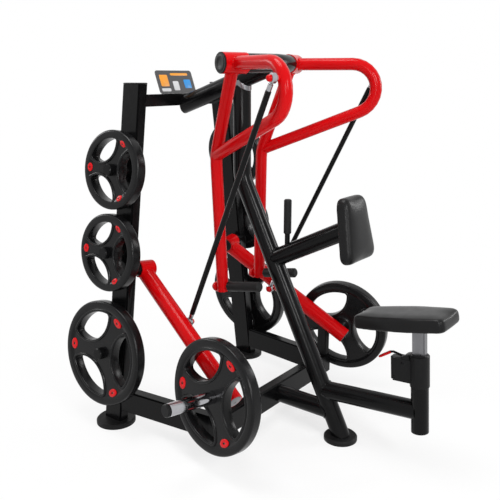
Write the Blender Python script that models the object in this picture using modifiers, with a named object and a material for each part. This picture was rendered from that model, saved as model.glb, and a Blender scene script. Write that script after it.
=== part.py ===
"""Plate-loaded seated row machine: frame, seat, chest support, levers, tie rods, arms and plates.

Metres, +Z up. X = 0 is the plane of symmetry, the user sits at -Y and faces +Y, and the floor is Z = 0.
"""
import math

import bmesh
import bpy
from mathutils import Matrix, Vector

# Clearances
GAP = 0.0003
RUNNING_FIT = 0.0006
OPEN_PIVOT_CLEARANCE = 0.0022
END_CHAMFER = 0.004

# Rear posts, rectangular tube that leans inward
POST_WIDTH = 0.050
POST_DEPTH = 0.100
POST_HEIGHT = 1.447
POST_SPREAD = 0.470
POST_SPLAY = math.radians(7.75)
POST_Y = 0.5366
TUBE_CORNER = 0.006

# Feet
REAR_FOOT_RADIUS = 0.085
FRONT_FOOT_RADIUS = 0.070
FOOT_HEIGHT = 0.020
FOOT_CHAMFER = 0.006

# Floor frame
RAIL_WIDTH = 0.050
RAIL_HEIGHT = 0.100
RAIL_BOTTOM = 0.065
RAIL_FRONT_SPREAD = 0.403
CROSS_BEAM_Y = 0.0066
CROSS_BEAM_DEPTH = 0.050
ROUND_TUBE_RADIUS = 0.038
SADDLE = 0.012

# Front leg, round tube bent once
LEG_FOOT_Y = -0.3394
LEG_TOP_Y = 0.1916
LEG_SLANT = math.radians(26.54)
LEG_BEND_RADIUS = 0.140

# Top bar and spine
TOP_BAR_SIZE = 0.050
TOP_BAR_DROP = 0.068
SPINE_START_Z = 1.358
SPINE_END_Z = 1.527

# Pivot head and arm hubs
ARM_TOE = math.radians(18.0)
HEAD_RADIUS = 0.037
HEAD_REACH = 0.153
HEAD_Y = 0.0146
ARM_SHAFT_RADIUS = 0.020
HUB_RADIUS = 0.040
HUB_LENGTH = 0.108
HUB_CAP_THICKNESS = 0.006

# Swinging arms
ARM_TUBE_RADIUS = 0.025
LOOP_TOE = math.radians(21.5)
LOOP_REACH = 0.257
LOOP_BEND_RADIUS = 0.100
LOOP_SLOPE = math.radians(21.3)
LOOP_ROOT = 0.012
ARM_KINK_BACK = 0.133
ARM_KINK_DROP = 0.362
ARM_BEND_LENGTH = 0.035
ARM_DROP = 0.943
ARM_LEAN = 0.027
ROD_BOSS_ANGLE = math.radians(27.0)
ROD_TOE = math.radians(22.0)

# Handles
HANDLE_RADIUS = 0.015
HANDLE_RISE = math.radians(10.0)
HANDLE_BACK = 0.046
HANDLE_HEIGHT_ABOVE_END = 0.019
HANDLE_ROUND = 0.006
GRIP_RADIUS = 0.021
GRIP_LENGTH = 0.175
GRIP_END = 0.010
GRIP_STANDOFF = 0.004

# Weight levers
LEVER_PIVOT_AHEAD = 0.034
LEVER_PIVOT = Vector((0.293, POST_Y - LEVER_PIVOT_AHEAD, 0.667))
LEVER_AXIS = Vector((0.984, 0.140, 0.1115)).normalized()
LEVER_LENGTH = 0.687
LEVER_DROP = math.radians(32.8)
LEVER_SET = 0.012
LEVER_TUBE_RADIUS = 0.0355
LEVER_OVERHANG = 0.045
LEVER_HUB_RADIUS = 0.036
LEVER_HUB_LENGTH = 0.074
LEVER_SHAFT_RADIUS = 0.018
LEVER_SHOULDER_RADIUS = 0.030
LEVER_CAP_THICKNESS = 0.005
ROD_SEAT = 0.310
ROD_SEAT_DROP = 0.012
STOP_WIDTH = 0.036
STOP_DEPTH = 0.048

# Weight horns
HORN_RADIUS = 0.0245
HORN_FLANGE_RADIUS = 0.033
HORN_FLANGE = 0.004
HORN_REACH = 0.218
HORN_CAP_LENGTH = 0.014

# Tie rods
ROD_RADIUS = 0.011
ROD_SHANK_RADIUS = 0.007
ROD_EYE_RADIUS = 0.019
ROD_EYE_THICKNESS = 0.020
ROD_SHANK = 0.048
ROD_BOSS_RADIUS = 0.011
ROD_BOSS_LENGTH = 0.010
LOW_BOSS_LENGTH = 0.0115

# Weight plates
BIG_PLATE_RADIUS = 0.225
SMALL_PLATE_RADIUS = 0.163
PLATE_THICKNESS = 0.050
PLATE_BORE = 0.0250
PLATE_HUB = 0.046
PLATE_RIM = 0.030
PLATE_ROUND = 0.010
PLATE_WEB_SHARE = 0.72
SLOT_INNER_SHARE = 0.29
SLOT_OUTER_SHARE = 0.79
SLOT_BULGE_SHARE = 0.564
SLOT_CORNER_SHARE = 0.06
SPOKE_TURN = math.radians(31.0)
PLATE_STANDOFF = 0.030
PEG_RADIUS = 0.0245
PEG_PROUD = 0.018
PEG_FLANGE_RADIUS = 0.040
PLATE_STEPS = 28
WELD_OVERLAP = 0.008
STORE_HEIGHTS = (0.323, 0.753, 1.094)
STORE_SET_BACK = 0.010
STORE_RADII = (BIG_PLATE_RADIUS, SMALL_PLATE_RADIUS, SMALL_PLATE_RADIUS)

# Chest support
CHEST_BEAM_HEIGHT = 0.727
CHEST_BEAM_LENGTH = 0.394
CHEST_PAD_WIDTH = 0.222
CHEST_PAD_TOP_WIDTH = 0.160
CHEST_PAD_HEIGHT = 0.258
CHEST_PAD_THICKNESS = 0.052
CHEST_PAD_CORNER = 0.034
CHEST_PAD_TILT = math.radians(10.6)
CHEST_BRACKET = Vector((0.110, 0.006, 0.110))
CHEST_BRACKET_CORNER = 0.010
BRACE_Y = -0.0454
BRACE_RADIUS = 0.011
BRACE_GRIP_RADIUS = 0.016
BRACE_RISE = 0.186
BRACE_GRIP_LENGTH = 0.145
BRACE_GRIP_END = 0.006

# Seat
SEAT_POST_Y = -0.6754
SEAT_POST_LEAN = math.radians(4.0)
SEAT_POST_BOTTOM = 0.152
SEAT_POST_LENGTH = 0.298
SEAT_POST_RADIUS = 0.034
SEAT_POST_BORE = 0.0305
SEAT_BEAM_Z = 0.200
SEAT_BEAM_RISE = math.radians(5.0)
COLLAR_RADIUS = 0.0375
COLLAR_HEIGHT = 0.130
COLLAR_TOP = 0.016
HOUSING_SIZE = Vector((0.052, 0.112, 0.092))
HOUSING_CORNER = 0.012
HOUSING_DROP = 0.022
SEAT_TUBE_SIZE = Vector((0.030, 0.050))
SEAT_TUBE_CORNER = 0.003
SEAT_TUBE_SHOWN = 0.102
SEAT_TUBE_INSIDE = 0.180
SEAT_TRAVEL_DOWN = 0.060
SEAT_PLATE = Vector((0.120, 0.180, 0.006))
SEAT_PLATE_CORNER = 0.012
SEAT_PLATE_SET = 0.004
SEAT_TILT = math.radians(10.4)
SEAT_LENGTH = 0.380
SEAT_WIDTH = 0.200
SEAT_TAPER = 0.12
SEAT_SQUARENESS = 0.49
SEAT_THICKNESS = 0.052
SEAT_SHIFT = 0.057
SEAT_OUTLINE_POINTS = 36
SEAT_LEVER_LINK = 0.040
SEAT_LEVER_LENGTH = 0.098
SEAT_LEVER_RADIUS = 0.005
SEAT_LEVER_RISE = 0.010
SEAT_LEVER_DROP = 0.034
SEAT_LEVER_GRIP = Vector((0.018, 0.011))

# Cushions: share of the thickness and share of the outline, from the back up to the crown
CUSHION_RING_SHARES = ((0.0, 0.955), (0.10, 0.985), (0.45, 1.0), (0.72, 0.985), (0.90, 0.925),
                       (0.975, 0.80), (0.995, 0.55), (1.0, 0.25))

# Instruction placard
PLACARD_SIZE = Vector((0.230, 0.003, 0.104))
PLACARD_SET_BACK = 0.012
PLACARD_TILT = math.radians(20.0)
PLACARD_CORNER = 0.012


def reset_scene():
    """Empty the file and make the two collections."""
    for item in list(bpy.data.objects):
        bpy.data.objects.remove(item, do_unlink=True)
    made = {}
    for name in ("seated_row_machine", "cutters"):
        made[name] = bpy.data.collections.new(name)
        bpy.context.scene.collection.children.link(made[name])
    return made["seated_row_machine"], made["cutters"]


PARTS, CUTTERS = reset_scene()


def material(name, colour, roughness, metallic=0.0):
    """One Principled material."""
    made = bpy.data.materials.new(name)
    made.use_nodes = True
    shader = made.node_tree.nodes["Principled BSDF"]
    shader.inputs["Base Color"].default_value = (*colour, 1.0)
    shader.inputs["Roughness"].default_value = roughness
    shader.inputs["Metallic"].default_value = metallic
    return made


BLACK = material("black_powder_coat", (0.014, 0.014, 0.015), 0.38)
RED = material("red_powder_coat", (0.62, 0.006, 0.010), 0.25)
PLASTIC = material("black_plastic", (0.012, 0.012, 0.012), 0.5)
RUBBER = material("black_rubber", (0.012, 0.012, 0.013), 0.6)
CHROME = material("chrome", (0.70, 0.70, 0.72), 0.12, 1.0)
STEEL = material("brushed_steel", (0.42, 0.42, 0.43), 0.35, 1.0)
VINYL = material("grey_vinyl", (0.055, 0.055, 0.057), 0.55)
SIGN = material("sign_plate", (0.030, 0.030, 0.032), 0.4)


def add_object(name, mesh, finish, cutter=False, smooth=True):
    """Link a mesh as a part, or as a hidden cutter."""
    made = bpy.data.objects.new(name, mesh)
    if cutter:
        CUTTERS.objects.link(made)
        made.hide_render = True
        made.display_type = "WIRE"
        return made
    PARTS.objects.link(made)
    mesh.materials.clear()
    mesh.materials.append(finish)
    if smooth:
        mesh.shade_smooth()
        mesh.set_sharp_from_angle(angle=math.radians(35.0))
    return made


def mesh_from_bmesh(name, shape):
    """Close a bmesh with outward faces and turn it into mesh data."""
    bmesh.ops.remove_doubles(shape, verts=shape.verts, dist=0.00001)
    bmesh.ops.recalc_face_normals(shape, faces=shape.faces)
    mesh = bpy.data.meshes.new(name)
    shape.to_mesh(mesh)
    shape.free()
    return mesh


def evaluated_mesh(item, name):
    """The mesh that an object shows, welded, in world space; the object is removed."""
    bpy.context.view_layer.update()
    graph = bpy.context.evaluated_depsgraph_get()
    mesh = bpy.data.meshes.new_from_object(item.evaluated_get(graph))
    mesh.transform(item.matrix_world)
    bpy.data.objects.remove(item, do_unlink=True)
    shape = bmesh.new()
    shape.from_mesh(mesh)
    bpy.data.meshes.remove(mesh)
    return mesh_from_bmesh(name, shape)


def axes_from(axis, upright):
    """Rotation whose Z is the axis and whose Y leans toward upright."""
    z_axis = Vector(axis).normalized()
    upright = Vector(upright).normalized()
    if abs(upright.dot(z_axis)) > 0.95:
        upright = Vector((0, 1, 0))
    x_axis = upright.cross(z_axis).normalized()
    y_axis = z_axis.cross(x_axis)
    return Matrix((x_axis, y_axis, z_axis)).transposed()


def bar(name, start, end, radius, finish, sides=24, round_end=0.0, cutter=False):
    """Round bar between two points, with optional rounded rims."""
    start, end = Vector(start), Vector(end)
    along = end - start
    shape = bmesh.new()
    bmesh.ops.create_cone(shape, cap_ends=True, segments=sides, radius1=radius, radius2=radius,
                          depth=along.length)
    if round_end:
        rims = [edge for edge in shape.edges if abs(edge.verts[0].co.z - edge.verts[1].co.z) < 1e-6]
        bmesh.ops.bevel(shape, geom=rims, offset=round_end, segments=1, affect="EDGES")
    place = Matrix.Translation((start + end) / 2) @ axes_from(along, (0, 0, 1)).to_4x4()
    bmesh.ops.transform(shape, matrix=place, verts=shape.verts)
    return add_object(name, mesh_from_bmesh(name, shape), finish, cutter)


def beam(name, start, end, width, depth, upright, finish, face=None, corner=TUBE_CORNER, cutter=False):
    """Rectangular tube between two points; its ends are cut square or parallel to a given face."""
    start, end = Vector(start), Vector(end)
    along = (end - start).normalized()
    turn = axes_from(along, upright)
    face = Vector(face).normalized() if face else along
    shape = bmesh.new()
    bmesh.ops.create_cube(shape, size=1.0)
    for vert in shape.verts:
        origin = end if vert.co.z > 0 else start
        offset = turn @ Vector((vert.co.x * width, vert.co.y * depth, 0.0))
        vert.co = origin + offset - along * (offset.dot(face) / along.dot(face))
    if corner:
        long_edges = [e for e in shape.edges
                      if abs((e.verts[0].co - e.verts[1].co).normalized().dot(along)) > 0.999]
        bmesh.ops.bevel(shape, geom=long_edges, offset=corner, segments=2, affect="EDGES")
    return add_object(name, mesh_from_bmesh(name, shape), finish, cutter)


def tube(name, points, radius, finish, resolution=6, cutter=False):
    """Round tube along a path of points, as a mesh with welded caps."""
    curve = bpy.data.curves.new(name, "CURVE")
    curve.dimensions = "3D"
    curve.bevel_depth = radius
    curve.bevel_resolution = resolution
    curve.use_fill_caps = True
    spline = curve.splines.new("POLY")
    spline.points.add(len(points) - 1)
    for slot, point in zip(spline.points, points):
        slot.co = (*point, 1.0)
    draft = bpy.data.objects.new(name + "_path", curve)
    CUTTERS.objects.link(draft)
    return add_object(name, evaluated_mesh(draft, name), finish, cutter)


def turned(name, profile, origin, axis, finish, steps=32, upright=(0, 0, 1), cutter=False):
    """Profile of (radius, height) points, top to bottom, turned about an axis with a Screw modifier."""
    mesh = bpy.data.meshes.new(name + "_profile")
    edges = [(i, i + 1) for i in range(len(profile) - 1)]
    if profile[0][0] > 0.0:
        edges.append((len(profile) - 1, 0))
    mesh.from_pydata([(r, 0.0, h) for r, h in profile], edges, [])
    draft = bpy.data.objects.new(name + "_profile", mesh)
    CUTTERS.objects.link(draft)
    screw = draft.modifiers.new("turn", "SCREW")
    screw.steps = steps
    screw.render_steps = steps
    screw.use_merge_vertices = True
    screw.merge_threshold = 0.00005
    draft.matrix_world = Matrix.Translation(origin) @ axes_from(axis, upright).to_4x4()
    return add_object(name, evaluated_mesh(draft, name), finish, cutter)


def outline(name, points, thickness, place, finish, cutter=False):
    """Flat outline filled and given a thickness, placed by a matrix."""
    curve = bpy.data.curves.new(name, "CURVE")
    curve.dimensions = "2D"
    curve.fill_mode = "BOTH"
    curve.extrude = thickness / 2
    spline = curve.splines.new("POLY")
    spline.points.add(len(points) - 1)
    spline.use_cyclic_u = True
    for slot, point in zip(spline.points, points):
        slot.co = (point[0], point[1], 0.0, 1.0)
    draft = bpy.data.objects.new(name + "_outline", curve)
    CUTTERS.objects.link(draft)
    draft.matrix_world = place
    return add_object(name, evaluated_mesh(draft, name), finish, cutter, smooth=False)


def arc(centre, radius, start, stop, count):
    """Points on an arc in a plane."""
    steps = [start + (stop - start) * i / count for i in range(count + 1)]
    return [(centre[0] + radius * math.cos(t), centre[1] + radius * math.sin(t)) for t in steps]


def rounded_rectangle(width, height, radius, count=3):
    """Outline of a rectangle with round corners."""
    points = []
    for sx, sy, start in ((1, 1, 0.0), (-1, 1, 90.0), (-1, -1, 180.0), (1, -1, 270.0)):
        centre = (sx * (width / 2 - radius), sy * (height / 2 - radius))
        points += arc(centre, radius, math.radians(start), math.radians(start + 90.0), count)
    return points


def boolean(item, other, operation):
    """Cut a part with, or join it to, another solid."""
    step = item.modifiers.new(other.name, "BOOLEAN")
    step.operation = operation
    step.object = other
    step.solver = "EXACT"


def cut(item, *others):
    """Take other solids out of a part."""
    for other in others:
        boolean(item, other, "DIFFERENCE")


def join(item, *others):
    """Weld other solids to a part."""
    for other in others:
        boolean(item, other, "UNION")


def attach(pieces, name, position):
    """Hang pieces from an empty on their joint."""
    empty = bpy.data.objects.new(name, None)
    PARTS.objects.link(empty)
    empty.location = position
    bpy.context.view_layer.update()
    for piece in pieces:
        piece.parent = empty
        piece.matrix_parent_inverse = empty.matrix_world.inverted()


def mirrored(vector, side):
    """A right-hand vector moved to the given side."""
    return Vector((vector[0] * side, vector[1], vector[2]))


SIDES = (("left", -1), ("right", 1))
LEG_SLOPE = math.tan(LEG_SLANT)
LEG_BEND_Z = (LEG_TOP_Y - LEG_FOOT_Y) / LEG_SLOPE
RAIL_MID = RAIL_BOTTOM + RAIL_HEIGHT / 2
TOP_BAR_Z = POST_HEIGHT - TOP_BAR_DROP
POST_FRONT = POST_Y - POST_DEPTH / 2
UP = Vector((0, 0, 1))
TRIM_SIZE = 4 * POST_DEPTH


def post_x(height):
    """Half distance between the post centre lines at a height."""
    return POST_SPREAD - math.tan(POST_SPLAY) * height


def post_axis(side):
    """Outward direction, square to a leaning post."""
    return Vector((side * math.cos(POST_SPLAY), 0.0, math.sin(POST_SPLAY)))


def leg_path():
    """Centre line of the front leg from the foot up to the spine."""
    tangent = LEG_BEND_RADIUS * math.tan(LEG_SLANT / 2)
    centre = (LEG_TOP_Y - LEG_BEND_RADIUS, LEG_BEND_Z + tangent)
    bend_points = [Vector((0, y, z)) for y, z in arc(centre, LEG_BEND_RADIUS, -LEG_SLANT, 0.0, 5)]
    foot = Vector((0, LEG_FOOT_Y + LEG_SLOPE * FOOT_HEIGHT / 2, FOOT_HEIGHT / 2))
    return [foot] + bend_points + [Vector((0, LEG_TOP_Y, spine_z(LEG_TOP_Y)))]


def head_points(reach):
    """Centre line of the V-shaped pivot head, out to a distance from its middle."""
    across, back = reach * math.cos(ARM_TOE), reach * math.sin(ARM_TOE)
    return [Vector((across * s, HEAD_Y + abs(s) * back, SPINE_END_Z)) for s in (-1, 0, 1)]


def spine_z(y):
    """Height of the spine's centre line."""
    start_y = POST_Y - TOP_BAR_SIZE / 2
    return SPINE_START_Z + (SPINE_END_Z - SPINE_START_Z) * (start_y - y) / (start_y - HEAD_Y)


def rear_frame():
    """Feet, rails and the cross beam."""
    for label, side in SIDES:
        foot("rear_foot_" + label, REAR_FOOT_RADIUS, (side * POST_SPREAD, POST_Y, 0.0))
        rail_back = POST_FRONT - GAP
        rail_front = CROSS_BEAM_Y + CROSS_BEAM_DEPTH / 2 + GAP
        start = Vector((side * post_x(RAIL_MID), rail_back, RAIL_MID))
        end = Vector((side * RAIL_FRONT_SPREAD, rail_front, RAIL_MID))
        beam("side_rail_" + label, start, end, RAIL_WIDTH, RAIL_HEIGHT, UP, BLACK, face=(0, 1, 0))
    half = RAIL_FRONT_SPREAD + RAIL_WIDTH / 2
    beam("cross_beam", (-half, CROSS_BEAM_Y, RAIL_MID), (half, CROSS_BEAM_Y, RAIL_MID), CROSS_BEAM_DEPTH,
         RAIL_HEIGHT, UP, BLACK)


def foot(name, radius, place):
    """Rubber foot disc with a chamfered rim."""
    profile = [(0.0, FOOT_HEIGHT), (radius - FOOT_CHAMFER, FOOT_HEIGHT), (radius, FOOT_HEIGHT - FOOT_CHAMFER),
               (radius, 0.0), (0.0, 0.0)]
    turned(name, profile, place, UP, RUBBER, steps=36)


def rear_posts():
    """Leaning posts with their welded storage pegs and lever shafts, and the stored plates."""
    for label, side in SIDES:
        foot_top = FOOT_HEIGHT + GAP
        low = Vector((side * post_x(foot_top), POST_Y, foot_top))
        high = Vector((side * post_x(POST_HEIGHT), POST_Y, POST_HEIGHT))
        post = beam("rear_post_" + label, low, high, POST_WIDTH, POST_DEPTH, (0, 1, 0), BLACK, face=UP)
        axis = post_axis(side)
        for index, height in enumerate(STORE_HEIGHTS):
            face = Vector((side * post_x(height), POST_Y + STORE_SET_BACK, height)) + axis * POST_WIDTH / 2
            join(post, storage_peg("peg_%s_%d" % (label, index), face, axis))
            centre = face + axis * (PLATE_STANDOFF + PLATE_THICKNESS / 2)
            name = "stored_plate_%s_%d" % (label, index + 1)
            plate = plate_solid(name, STORE_RADII[index], centre, axis, side)
            attach([plate], name + "_slide", centre)
        join(post, *lever_bearing(label, side))


def storage_peg(name, face, axis):
    """Peg with a flange that keeps the plate off the post."""
    length = PLATE_STANDOFF + PLATE_THICKNESS + PEG_PROUD
    profile = [(0.0, length), (PEG_RADIUS - END_CHAMFER, length), (PEG_RADIUS, length - END_CHAMFER),
               (PEG_RADIUS, PLATE_STANDOFF - GAP), (PEG_FLANGE_RADIUS, PLATE_STANDOFF - GAP),
               (PEG_FLANGE_RADIUS, -WELD_OVERLAP), (0.0, -WELD_OVERLAP)]
    return turned(name, profile, face, axis, BLACK, steps=16, cutter=True)


def lever_bearing(label, side):
    """Shaft and shoulder on which a weight lever turns."""
    pivot, axis = lever_frame(side)[:2]
    hub_in = pivot - axis * LEVER_HUB_LENGTH / 2
    hub_out = pivot + axis * LEVER_HUB_LENGTH / 2
    to_post = (post_x(pivot.z) - abs(pivot.x)) / abs(axis.x)
    shaft = bar("lever_shaft_" + label, hub_in + axis * (LEVER_CAP_THICKNESS + RUNNING_FIT),
                pivot + axis * to_post, LEVER_SHAFT_RADIUS, BLACK, sides=20, cutter=True)
    shoulder = bar("shoulder_" + label, hub_out + axis * GAP, pivot + axis * to_post, LEVER_SHOULDER_RADIUS,
                   BLACK, sides=20, cutter=True)
    return shaft, shoulder


def centre_frame():
    """Leg, centre beam, seat beam, top bar, spine and pivot head."""
    path = leg_path()
    leg = tube("front_leg", path, ROUND_TUBE_RADIUS, BLACK)
    leg_room = tube("leg_room", path, ROUND_TUBE_RADIUS + GAP, BLACK, cutter=True)
    foot("front_foot", FRONT_FOOT_RADIUS, (0.0, LEG_FOOT_Y + LEG_SLOPE * FOOT_HEIGHT, 0.0))
    floor_trim = beam("leg_floor_cut", (0, LEG_FOOT_Y, -TRIM_SIZE), (0, LEG_FOOT_Y, FOOT_HEIGHT + GAP),
                      TRIM_SIZE, TRIM_SIZE, (0, 1, 0), BLACK, corner=0.0, cutter=True)
    cut(leg, floor_trim)

    beam_start = CROSS_BEAM_Y - CROSS_BEAM_DEPTH / 2 - GAP
    leg_at_rail = LEG_FOOT_Y + LEG_SLOPE * RAIL_MID
    centre_beam = bar("center_beam", (0, beam_start, RAIL_MID), (0, leg_at_rail + SADDLE, RAIL_MID),
                      ROUND_TUBE_RADIUS, BLACK)
    cut(centre_beam, leg_room)

    leg_at_seat = Vector((0, LEG_FOOT_Y + LEG_SLOPE * SEAT_BEAM_Z, SEAT_BEAM_Z))
    rise = Vector((0, -math.cos(SEAT_BEAM_RISE), math.sin(SEAT_BEAM_RISE)))
    span = (leg_at_seat.y - seat_point(SEAT_BEAM_Z - SEAT_POST_BOTTOM).y) / math.cos(SEAT_BEAM_RISE)
    seat_beam = bar("seat_beam", leg_at_seat + rise * SADDLE, leg_at_seat + rise * (span - SADDLE),
                    ROUND_TUBE_RADIUS, BLACK)
    cut(seat_beam, leg_room)

    bar_half = post_x(TOP_BAR_Z)
    top_bar = beam("top_crossbar", (-bar_half, POST_Y, TOP_BAR_Z), (bar_half, POST_Y, TOP_BAR_Z), TOP_BAR_SIZE,
                   TOP_BAR_SIZE, UP, BLACK)
    for label, side in SIDES:
        low = Vector((side * post_x(TOP_BAR_Z - TRIM_SIZE), POST_Y, TOP_BAR_Z - TRIM_SIZE))
        high = Vector((side * post_x(TOP_BAR_Z + TRIM_SIZE), POST_Y, TOP_BAR_Z + TRIM_SIZE))
        post_room = beam("post_room_" + label, low, high, POST_WIDTH + 2 * GAP, POST_DEPTH + 2 * GAP, (0, 1, 0),
                         BLACK, face=UP, corner=0.0, cutter=True)
        cut(top_bar, post_room)

    head_path = head_points(HEAD_REACH)
    shaft_path = head_points(HEAD_REACH + HUB_LENGTH - END_CHAMFER)
    head = tube("pivot_head", head_path, HEAD_RADIUS, BLACK)
    join(head, tube("arm_shafts", shaft_path, ARM_SHAFT_RADIUS, STEEL, cutter=True))
    head_room = tube("head_room", head_path, HEAD_RADIUS + GAP, BLACK, cutter=True)

    spine_back = POST_Y - TOP_BAR_SIZE / 2 - GAP
    slope = (SPINE_END_Z - SPINE_START_Z) / (spine_back - HEAD_Y)
    tail = Vector((0, spine_back + TOP_BAR_SIZE, SPINE_START_Z - slope * TOP_BAR_SIZE))
    tip = Vector((0, HEAD_Y, SPINE_END_Z))
    spine = bar("spine", tail, tip, ROUND_TUBE_RADIUS, BLACK)
    back_trim = beam("spine_back_cut", (0, spine_back, TOP_BAR_Z), (0, spine_back + TRIM_SIZE, TOP_BAR_Z),
                     TRIM_SIZE, TRIM_SIZE, UP, BLACK, corner=0.0, cutter=True)
    cut(spine, back_trim, head_room)
    spine_room = bar("spine_room", tail, tip, ROUND_TUBE_RADIUS + GAP, BLACK, cutter=True)
    cut(leg, spine_room)
    return leg_room, seat_beam


def chest_support(leg_room):
    """Beam, bracket, pad, brace bar and grip in front of the leg."""
    along = Vector((0, -math.cos(LEG_SLANT), math.sin(LEG_SLANT)))
    root = Vector((0, LEG_FOOT_Y + LEG_SLOPE * CHEST_BEAM_HEIGHT, CHEST_BEAM_HEIGHT))
    tip = root + along * CHEST_BEAM_LENGTH
    facing = Vector((0, -math.cos(CHEST_PAD_TILT), math.sin(CHEST_PAD_TILT)))
    chest_beam = bar("chest_beam", root + along * SADDLE, tip + along * ROUND_TUBE_RADIUS, ROUND_TUBE_RADIUS,
                     BLACK)
    trim = beam("chest_trim", tip, tip + facing * TRIM_SIZE, TRIM_SIZE, TRIM_SIZE, UP, BLACK, corner=0.0,
                cutter=True)
    cut(chest_beam, leg_room, trim)
    chest_room = bar("chest_room", root, tip, ROUND_TUBE_RADIUS + GAP, BLACK, cutter=True)

    plate_start = tip + facing * GAP
    plate_end = plate_start + facing * CHEST_BRACKET.y
    beam("chest_bracket", plate_start, plate_end, CHEST_BRACKET.x, CHEST_BRACKET.z, UP, BLACK,
         corner=CHEST_BRACKET_CORNER)
    pad_back = plate_end + facing * GAP
    pad_place = Matrix.Translation(pad_back) @ axes_from(facing, UP).to_4x4()
    cushion("chest_pad", pad_place, chest_outline(), CHEST_PAD_THICKNESS)

    beam_top = root.z + (root.y - BRACE_Y) * math.tan(LEG_SLANT) + ROUND_TUBE_RADIUS / math.cos(LEG_SLANT)
    brace_low = Vector((0, BRACE_Y, beam_top - ROUND_TUBE_RADIUS))
    grip_top = beam_top + BRACE_RISE
    brace_top = grip_top - BRACE_GRIP_END
    grip_low = grip_top - BRACE_GRIP_LENGTH
    brace = bar("brace_bar", brace_low, (0, BRACE_Y, brace_top), BRACE_RADIUS, BLACK, sides=16)
    cut(brace, chest_room)
    grip = bar("brace_grip", (0, BRACE_Y, grip_low), (0, BRACE_Y, grip_top), BRACE_GRIP_RADIUS, RUBBER,
               sides=20, round_end=END_CHAMFER)
    cut(grip, bar("brace_room", (0, BRACE_Y, grip_low - BRACE_RADIUS), (0, BRACE_Y, brace_top + GAP),
                  BRACE_RADIUS + GAP, BLACK, sides=16, cutter=True))


def chest_outline():
    """Plan of the chest pad: wider at its lower edge, with round corners."""
    points = []
    square = rounded_rectangle(CHEST_PAD_WIDTH, CHEST_PAD_HEIGHT, CHEST_PAD_CORNER, 5)
    for x, y in square:
        share = 0.5 + y / CHEST_PAD_HEIGHT
        points.append((x * (1.0 + (CHEST_PAD_TOP_WIDTH / CHEST_PAD_WIDTH - 1.0) * share), y))
    return points


def cushion(name, place, points, thickness):
    """Upholstered pad: flat back, sides drawn in below a full edge, and a crowned front."""
    shape = bmesh.new()
    rings = []
    for height, scale in CUSHION_RING_SHARES:
        ring = [shape.verts.new((x * scale, y * scale, height * thickness)) for x, y in points]
        rings.append(ring)
    shape.faces.new(reversed(rings[0]))
    for lower, upper in zip(rings, rings[1:]):
        for i in range(len(points)):
            j = (i + 1) % len(points)
            shape.faces.new((lower[i], lower[j], upper[j], upper[i]))
    shape.faces.new(rings[-1])
    bmesh.ops.transform(shape, matrix=place, verts=shape.verts)
    return add_object(name, mesh_from_bmesh(name, shape), VINYL)


def seat_point(height_along):
    """Point on the leaning seat post's axis, measured up from its lower end."""
    lean = Vector((0, math.sin(SEAT_POST_LEAN), math.cos(SEAT_POST_LEAN)))
    return Vector((0, SEAT_POST_Y, SEAT_POST_BOTTOM)) + lean * height_along


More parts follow.
